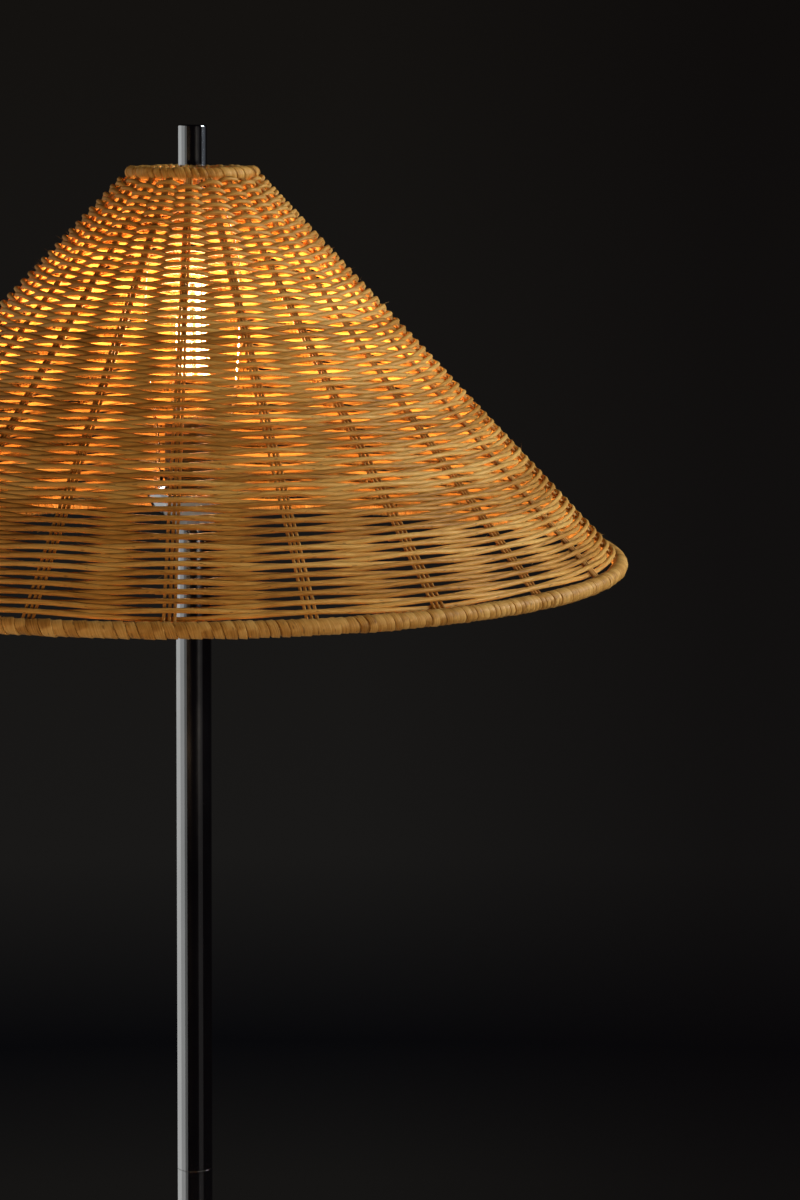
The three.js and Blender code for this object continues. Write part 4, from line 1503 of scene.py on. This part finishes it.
@dataclass
class Shade:
    """The cone: a welded top, wrapped rings, stakes of three reeds and one long weave.

    Names that start with weave, drift or strand are about the spiral, and distances along it are down the
    slope from the middle of the top ring's wire.
    """

    ring_radius: float = 41.5 * MM
    ring_height: float = 1467.2 * MM
    ring_wire: float = 2 * MM
    ring_roll: float = 4.5 * MM
    rim_radius: float = 293.75 * MM
    rim_height: float = 1201.6 * MM
    rim_roll: float = 5.5 * MM
    rim_core: float = 3.5 * MM
    hub_bottom: float = 1466.6 * MM
    hub_top: float = 1469.2 * MM
    hub_radius: float = 13 * MM
    hub_hole: float = 3.4 * MM
    arm_radius: float = 1.25 * MM
    arm_weld: float = 2.6 * MM
    arm_first: float = 0.25
    arms: int = 3
    stakes: int = 21
    stake_first: float = math.radians(1.2 - 90)
    reed_radius: float = 1 * MM
    reed_spread_top: float = 1.5 * MM
    reed_spread_rim: float = 3.3 * MM
    reed_start: float = 1.2 * MM
    reed_end: float = 1 * MM
    reed_bend: float = 0.25 * MM
    reed_bend_steps: int = 9
    reed_lift: float = 0.12 * MM
    reed_lift_steps: int = 6
    reed_uneven: Point = (-0.06, 0.04)
    reed_steps: int = 40
    strand_wide: float = 1.67 * MM
    strand_thick: float = 1.46 * MM
    row_pitch: float = 3.4 * MM
    weave_reach: float = 2.6 * MM
    weave_start: float = 6.6 * MM
    weave_end: float = 358.6 * MM
    weave_bulge: float = 0.14
    bulge_end: float = 130 * MM
    crest_sharp: float = 0.5
    crest_end: float = 150 * MM
    square_top: float = 1.6
    square_least: float = 0.15
    square_end: float = 140 * MM
    drift_waves: tuple[int, ...] = (2, 3, 5, 8, 13)
    drift_speed: Point = (0.02, 0.12)
    drift_reach: float = 0.32 * MM
    strand_length: float = 3.3
    strand_overlap: float = 0.12
    strand_tuck: float = 1.1 * MM
    strand_bend: Place = (0.26 * MM, 2.6, 0)
    strand_kink: Place = (0.1 * MM, 1.2, 7)
    strand_bow: Place = (0.14 * MM, 1.7, 3)
    strand_uneven: Point = (-0.07, 0.03)
    strand_swell: float = 0.035
    swell_steps: int = 30
    strand_thin_top: float = 0.07
    strand_sides: int = 8
    strand_fullness: float = 0.88
    steps_per_stake: int = 8
    bands: int = 5
    fibres: int = 260
    fibre_start: float = 40 * MM
    fibre_length: Point = (3 * MM, 9 * MM)
    fibre_radius: float = 0.13 * MM
    fibre_rise: Point = (0.25, 0.9)
    fibre_lean: Point = (-0.6, 0.6)
    fibre_curl: float = 1.6

    def __post_init__(self) -> None:
        """Works out the slope from the two rings."""
        self.run = self.rim_radius - self.ring_radius
        self.drop = self.ring_height - self.rim_height
        self.slope = math.hypot(self.run, self.drop)

    def on_slope(
        self, along: np.ndarray, out: np.ndarray, angle: np.ndarray, aside: np.ndarray | float = 0.0
    ) -> np.ndarray:
        """Places points on the cone.

        Args:
            along: the distance down the slope from the middle of the top ring's wire.
            out: the distance out of the slope.
            angle: the angle round the axis.
            aside: the distance to the side, in the direction of growing angle.

        Returns:
            The points.
        """
        radius = self.ring_radius + (along * self.run + out * self.drop) / self.slope
        height = self.ring_height - (along * self.drop - out * self.run) / self.slope
        x = radius * np.cos(angle) - aside * np.sin(angle)
        y = radius * np.sin(angle) + aside * np.cos(angle)
        return np.stack([x, y, height + 0 * x], -1)

    def down_slope(self, angle: np.ndarray) -> np.ndarray:
        """The direction down the slope at each angle."""
        return polar(self.run / self.slope, angle, -self.drop / self.slope)

    def drift(self, turns: np.ndarray) -> np.ndarray:
        """How far rows that lie together wander up and down the slope.

        Args:
            turns: the number of turns from the start of the weave.

        Returns:
            The distances.
        """
        rng = np.random.default_rng(SEED_DRIFT)
        total = np.zeros_like(turns)
        for waves in self.drift_waves:
            phase, speed = rng.uniform(0, TURN), rng.uniform(*self.drift_speed)
            total += np.sin(waves * TURN * turns + phase + speed * TURN * turns) / waves**0.5
        return self.drift_reach * total

    def arch(self, passed: np.ndarray, along: np.ndarray) -> np.ndarray:
        """How far a strand stands off the slope as it passes in front of a stake and behind the next.

        Near the top the arches are fuller and reach out further; lower down they are drawn flatter.

        Args:
            passed: the number of stakes passed.
            along: the distance down the slope.

        Returns:
            The distances, negative behind a stake.
        """
        wave = np.cos(math.pi * passed)
        sharp = 1 + self.crest_sharp * np.clip(along / self.crest_end, 0, 1)
        crest = np.sign(wave) * np.abs(wave) ** sharp
        square = np.clip(self.square_top - along / self.square_end, self.square_least, self.square_top)
        bulge = 1 + self.weave_bulge - self.weave_bulge * np.clip(along / self.bulge_end, 0, 1)
        return self.weave_reach * bulge * crest * (1 + square) / (1 + square * np.abs(crest))

    def loose(self, count: int, seed: int, way: Place) -> np.ndarray:
        """How far a strand wanders: the reach, the stakes from bend to bend and a step of the seed."""
        reach, stakes, step = way
        return reach * wander(count, stakes * self.steps_per_stake, seed + step)

    def strand(self, first: int, last: int, seed: int) -> Strip:
        """Weaves one length of strand over and under the stakes.

        Args:
            first: the number of stakes passed where it starts.
            last: the number of stakes passed where it ends.
            seed: what its unevenness is drawn from.

        Returns:
            The strand.
        """
        rng = np.random.default_rng(seed)
        count = (last - first) * self.steps_per_stake + 1
        passed = np.linspace(first - self.strand_overlap, last + self.strand_overlap, count)
        turns = passed / self.stakes
        angle = self.stake_first + TURN * turns
        along = self.weave_start + self.row_pitch * turns
        low = np.clip(along / self.bulge_end, 0, 1)
        reach = self.arch(passed, along) + self.loose(count, seed, self.strand_bow)
        along = along + self.drift(turns) + self.loose(count, seed, self.strand_bend)
        along = along + self.loose(count, seed, self.strand_kink)
        tail = np.minimum(np.arange(count), np.arange(count)[::-1])
        tuck = self.strand_tuck * np.clip(1 - tail / 3, 0, 1)
        line = self.on_slope(along, reach - tuck, angle)
        uneven = self.strand_swell * wander(count, self.swell_steps, seed + 5)
        swell = 1 + rng.uniform(*self.strand_uneven) + uneven - self.strand_thin_top * (1 - low)
        section = round_section(swell, self.strand_sides, self.strand_fullness)
        section = section * (self.strand_wide, self.strand_thick)
        return Strip(line, self.down_slope(angle), section, rng.uniform(0, 1))

    def weave(self) -> list[Piece]:
        """Weaves the skin in bands, from one spiral that passes an odd number of stakes each turn.

        Returns:
            The bands, from the top down.
        """
        turns = (self.weave_end - self.weave_start) / self.row_pitch
        total = int(turns * self.stakes)
        starts = [1]
        # Each length passes an even number of stakes, so that its ends lie hidden behind one.
        while starts[-1] < total:
            along = self.weave_start + self.row_pitch * starts[-1] / self.stakes
            radius = self.ring_radius + along * self.run / self.slope
            stakes = int(self.strand_length / (TURN * radius / self.stakes)) // 2 * 2
            starts.append(min(starts[-1] + max(stakes, 2), total))
        if (total - starts[-2]) < 2 * self.stakes:
            starts.pop(-2)
        lengths = [self.strand(a, b, SEED_STRAND + i) for i, (a, b) in enumerate(zip(starts, starts[1:]))]
        share = sum(len(s.line) for s in lengths) / self.bands
        groups: list[list[Strip]] = [[]]
        for strip in lengths:
            if sum(len(s.line) for s in groups[-1]) >= share and len(groups) < self.bands:
                groups.append([])
            groups[-1].append(strip)
        return [strips_mesh(f"weave_band_{i + 1}", group) for i, group in enumerate(groups)]

    def hairs(self) -> Piece:
        """Frays the weave: short fibres that stand off the strands.

        Returns:
            The fibres.
        """
        rng = np.random.default_rng(SEED_FIBRES)
        steps = np.linspace(0, 1, 5)
        strips = []
        for _ in range(self.fibres):
            along = rng.uniform(self.fibre_start, self.weave_end)
            length = rng.uniform(*self.fibre_length)
            radius = self.ring_radius + along * self.run / self.slope
            angle = rng.uniform(0, TURN) + rng.choice((-1, 1)) * length * steps / radius
            out = self.weave_reach + rng.uniform(*self.fibre_rise) * length * steps**self.fibre_curl
            line = self.on_slope(along + rng.uniform(*self.fibre_lean) * length * steps, out, angle)
            section = round_section(self.fibre_radius * (1.05 - steps), 3)
            strips.append(Strip(line, self.down_slope(angle), section, rng.uniform(0.4, 1)))
        return strips_mesh("frayed_fibres", strips)

    def reeds(self, index: int) -> Piece:
        """Lays the three reeds of one stake down the slope.

        Args:
            index: the stake's number from 0.

        Returns:
            The stake.
        """
        count = self.reed_steps
        angle = self.stake_first + index * TURN / self.stakes + np.zeros(count)
        rng = np.random.default_rng(SEED_REED + index)
        start = self.ring_roll - self.reed_start + self.reed_radius
        along = np.linspace(start, self.slope - self.rim_roll + self.reed_end, count)
        share = (along - start) / (along[-1] - start)
        spread = self.reed_spread_top + (self.reed_spread_rim - self.reed_spread_top) * share
        strips = []
        for side in (-1, 0, 1):
            reed = 3 * index + side
            bend = self.reed_bend * wander(count, self.reed_bend_steps, SEED_REED_BEND + reed)
            lift = self.reed_lift * wander(count, self.reed_lift_steps, SEED_REED_LIFT + reed)
            line = self.on_slope(along, lift, angle, side * spread + bend)
            radius = self.reed_radius * (1 + rng.uniform(*self.reed_uneven))
            strips.append(Strip(line, sideways(angle), round_section(radius, 10), rng.uniform(0, 1)))
        return strips_mesh(f"reeds_{index + 1:02d}", strips)

    def top(self) -> Piece:
        """Welds the hub, the arms and the top ring.

        Returns:
            The welded top.
        """
        outline = mirrored([(self.hub_hole, 0.0), (self.hub_radius, 0.0)], self.hub_bottom, self.hub_top)
        pieces = [turn("hub", eased(outline, 0.4 * MM), 64)]
        middle = (self.hub_bottom + self.hub_top) / 2
        for i in range(self.arms):
            angle = (i + self.arm_first) * TURN / self.arms
            ahead = Vector((math.cos(angle), math.sin(angle), 0))
            near, far = ahead * (self.hub_radius - self.arm_weld), ahead * self.ring_radius
            near.z, far.z = middle, self.ring_height
            third = (far - near) / 3
            knots = [(near, near - third, near + third), (far, far - third, far + third)]
            pieces.append(bent_wire("arm", knots, self.arm_radius, 12))
        deselect()
        bpy.ops.mesh.primitive_torus_add(
            major_radius=self.ring_radius,
            minor_radius=self.ring_wire,
            major_segments=96,
            minor_segments=14,
            location=(0, 0, self.ring_height),
        )
        pieces.append(settle(named("ring")))
        return join("top_welded", pieces)

    def build(self, finishes: Finishes) -> None:
        """Builds and dresses the shade.

        Args:
            finishes: the shared materials.
        """
        dress(self.top(), finishes.chrome, Body.SHADE, "chrome", "shade_spider")
        for i in range(self.stakes):
            dress(self.reeds(i), finishes.reed, Body.SHADE, "rattan_stake", f"stake_{i + 1:02d}")
        for band in self.weave():
            dress(band, finishes.strand, Body.SHADE, "rattan_strand", "shade_weave")
        dress(self.hairs(), finishes.strand, Body.SHADE, "rattan_strand", "shade_weave")
        top = Wrapping(
            ring=self.ring_radius,
            height=self.ring_height,
            roll=self.ring_roll,
            wraps=52,
            thick=1.1 * MM,
            bow=0.3 * MM,
            lean=0.5 * MM,
            rough=0.42,
            profile=DOMED,
            seed=41,
        )
        dress(top.build("top_roll"), finishes.strand, Body.SHADE, "rattan_peel", "top_wrap")
        rim = Wrapping(
            ring=self.rim_radius,
            height=self.rim_height,
            roll=self.rim_roll,
            wraps=300,
            thick=1.4 * MM,
            bow=0.8 * MM,
            lean=0.5 * MM,
            rough=0.2,
            profile=LAPPED,
            seed=42,
            crowding=0.3,
        )
        dress(rim.build("rim_roll"), finishes.peel, Body.SHADE, "rattan_peel", "rim_wrap")
        core = hoop("rim_core_cane", self.rim_radius, self.rim_height, self.rim_core)
        dress(core, finishes.reed, Body.SHADE, "rattan_stake", "rim_core")


@dataclass
class Knob:
    """The finial that clamps the shade: a turned cylinder with a brass insert."""

    bottom: float = 1469.5 * MM
    length: float = 30.2 * MM
    radius: float = 10 * MM
    bore: float = 6.3 * MM
    bore_top: float = 1488.1 * MM
    chamfer: float = 0.8 * MM

    def body(self) -> Piece:
        """Turns the cylinder with softened edges.

        Returns:
            The finial.
        """
        top = self.bottom + self.length
        outline = [
            (self.bore, self.bottom),
            (self.radius, self.bottom),
            (self.radius, top - self.chamfer),
            (self.radius - self.chamfer, top),
            (0.0, top),
            (0.0, self.bore_top),
            (self.bore, self.bore_top),
        ]
        return turn("finial_turned", eased(outline, 0.35 * MM), 96)

    def build(self, finishes: Finishes) -> None:
        """Builds and dresses the finial.

        Args:
            finishes: the shared materials.
        """
        dress(self.body(), finishes.chrome, Body.FINIAL, "chrome", "finial")
        repaint(finishes.brass, "finial_insert")


@dataclass(frozen=True)
class Softbox:
    """A soft lamp of the studio."""

    name: str
    place: Place
    aim: Place
    width: float
    height: float
    power: float
    colour: str = "#FFFFFF"
    spread: float = math.pi

    def build(self) -> None:
        """Hangs the softbox, out of the camera's sight."""
        deselect()
        bpy.ops.object.light_add(type="AREA", location=self.place)
        made = named(self.name)
        made.data.shape = "RECTANGLE"
        made.data.size, made.data.size_y = self.width, self.height
        made.data.energy = self.power
        made.data.color = linear(self.colour)[:3]
        made.data.spread = self.spread
        made.rotation_mode = "QUATERNION"
        made.rotation_quaternion = (Vector(self.aim) - Vector(self.place)).to_track_quat("-Z", "Y")
        made.visible_camera = False


KEY_GRID = math.radians(60)  # the grid that keeps the key light off the floor


@dataclass
class Studio:
    """The pale floor, the lights and the camera at the photograph's angle."""

    floor_radius: float = 1.5
    camera_place: Place = (0.1514, -2.1221, 1.5177)
    pitch: float = math.radians(5.906)
    roll: float = math.radians(0.255)
    yaw: float = math.radians(0.246)
    lens: float = 93.15
    shift: float = -0.15
    softboxes: tuple[Softbox, ...] = (
        Softbox("softbox_left", (-1.25, 0.75, 1.2), (0.0, 0.75, 1.2), 1.5, 2.3, 5.4, "#FFFEF8"),
        Softbox("softbox_left_middle", (-1.25, -0.39, 1.2), (0.0, -0.39, 1.2), 0.78, 2.3, 1.75, "#FFFEF8"),
        Softbox("softbox_left_edge", (-1.25, -1.12, 1.2), (0.0, -1.12, 1.2), 0.66, 2.3, 0.5, "#FFFEF8"),
        Softbox("softbox_key", (2.8, 0.2, 2.25), (0.0, 0.0, 1.3), 1.3, 1.3, 10.2, "#FBFDFF", KEY_GRID),
        Softbox("softbox_front", (-1.25, -2.1, 1.1), (0.0, 0.0, 1.1), 1.2, 0.26, 12.5, "#FFD2A0"),
        Softbox("softbox_front_right", (1.5, -2.0, 1.1), (0.0, 0.0, 1.1), 0.8, 0.26, 11.0, "#FFF0DC"),
        Softbox("board_right", (2.2, 0.75, 1.8), (0.0, 0.75, 1.8), 1.9, 0.8, 0.32, "#EAF3FF"),
        Softbox("board_low", (1.5, -1.4, 0.7), (0.0, 0.0, 0.7), 1.1, 1.6, 0.08, "#FFF6F0"),
    )
    bulb_power: float = 4.3
    bulb_middle: float = 1345 * MM
    bulb_wide: float = 15 * MM
    bulb_tall: float = 42 * MM
    bulb_reach: float = 8.5 * MM
    bulb_sides: int = 4
    bulb_spread: float = math.radians(164)
    bulb_colour: str = "#FFC285"
    sensor: float = 36.0

    def floor(self) -> None:
        """Lays a plain pale floor of painted board."""
        deselect()
        bpy.ops.mesh.primitive_circle_add(
            vertices=128, radius=self.floor_radius, fill_type="NGON", location=(0, 0, 0)
        )
        board = named("floor_pale")
        settle(board)
        paint = Coat("floor_paint_matt", "#C9C4BB", "#C3BEB5", 0.8, 12 * MM, 0.02).material()
        board.data.materials.append(paint)

    def lights(self) -> None:
        """Hangs the softboxes, lights the bulb and darkens what lies behind."""
        for softbox in self.softboxes:
            softbox.build()
        for i in range(self.bulb_sides):
            angle = (i + 0.5) * TURN / self.bulb_sides
            x, y, z = math.cos(angle), math.sin(angle), self.bulb_middle
            place = (self.bulb_reach * x, self.bulb_reach * y, z)
            share = self.bulb_power / self.bulb_sides
            name, wide, tall = f"bulb_glow_{i + 1}", self.bulb_wide, self.bulb_tall
            Softbox(name, place, (x, y, z), wide, tall, share, self.bulb_colour, self.bulb_spread).build()
        self.backdrop()

    def backdrop(self) -> None:
        """Darkens the room, with a dim wall behind the lamp that has a dark band low down."""
        world = bpy.data.worlds.new("dark_room")
        world.use_nodes = True
        tree = world.node_tree
        where = add(tree, "TexCoord", {})
        split = add(tree, "SeparateXYZ", {"Vector": where.outputs["Generated"]}).outputs
        stops = [(0.06, "#151413"), (0.16, "#08080A"), (0.3, "#191817"), (0.95, "#141210")]
        wall = ramp(tree, remap(tree, split["Z"], -0.36, 0.04), stops)
        behind = remap(tree, split["Y"], 0.75, 0.92)
        fade = remap(tree, split["X"], -0.02, 0.1, (1.0, 0.5))
        room = blend(tree, times(tree, behind, fade), linear("#080607"), wall)
        tree.links.new(room, tree.nodes["Background"].inputs["Color"])
        bpy.context.scene.world = world

    def camera(self) -> None:
        """Sets up the camera where the photograph was taken from."""
        ahead = Vector((-math.sin(self.yaw), math.cos(self.yaw), 0))
        side = Vector((math.cos(self.yaw), math.sin(self.yaw), 0))
        forward = ahead * math.cos(self.pitch) - Vector((0, 0, 1)) * math.sin(self.pitch)
        upright = ahead * math.sin(self.pitch) + Vector((0, 0, 1)) * math.cos(self.pitch)
        right = side * math.cos(self.roll) + upright * math.sin(self.roll)
        up = upright * math.cos(self.roll) - side * math.sin(self.roll)
        data = bpy.data.cameras.new("camera")
        data.lens = self.lens
        data.sensor_width = self.sensor
        data.shift_y = self.shift
        axes = Matrix((right, up, -forward)).transposed().to_4x4()
        camera = placed("camera", data)
        camera.matrix_world = Matrix.Translation(self.camera_place) @ axes
        bpy.context.scene.camera = camera

    def build(self) -> None:
        """Builds the studio."""
        self.floor()
        self.lights()
        self.camera()
        bpy.context.scene.view_settings.view_transform = "Standard"


def corners(box: tuple[Vector, Vector]) -> list[list[float]]:
    """Turns a box's two corners into plain lists."""
    return [list(corner) for corner in box]


def main() -> None:
    """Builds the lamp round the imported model, then the studio."""
    logging.basicConfig(level=logging.INFO, format="%(message)s", stream=sys.stdout, force=True)
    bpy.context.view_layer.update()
    finishes = Finishes()
    for assembly in (Foot(), Pole(), Holder(), Bulb(), Harp(), Shade(), Knob()):
        LOG.info("building the %s", type(assembly).__name__.lower())
        assembly.build(finishes)
    Studio().build()
    deselect()


if __name__ == "__main__":
    main()
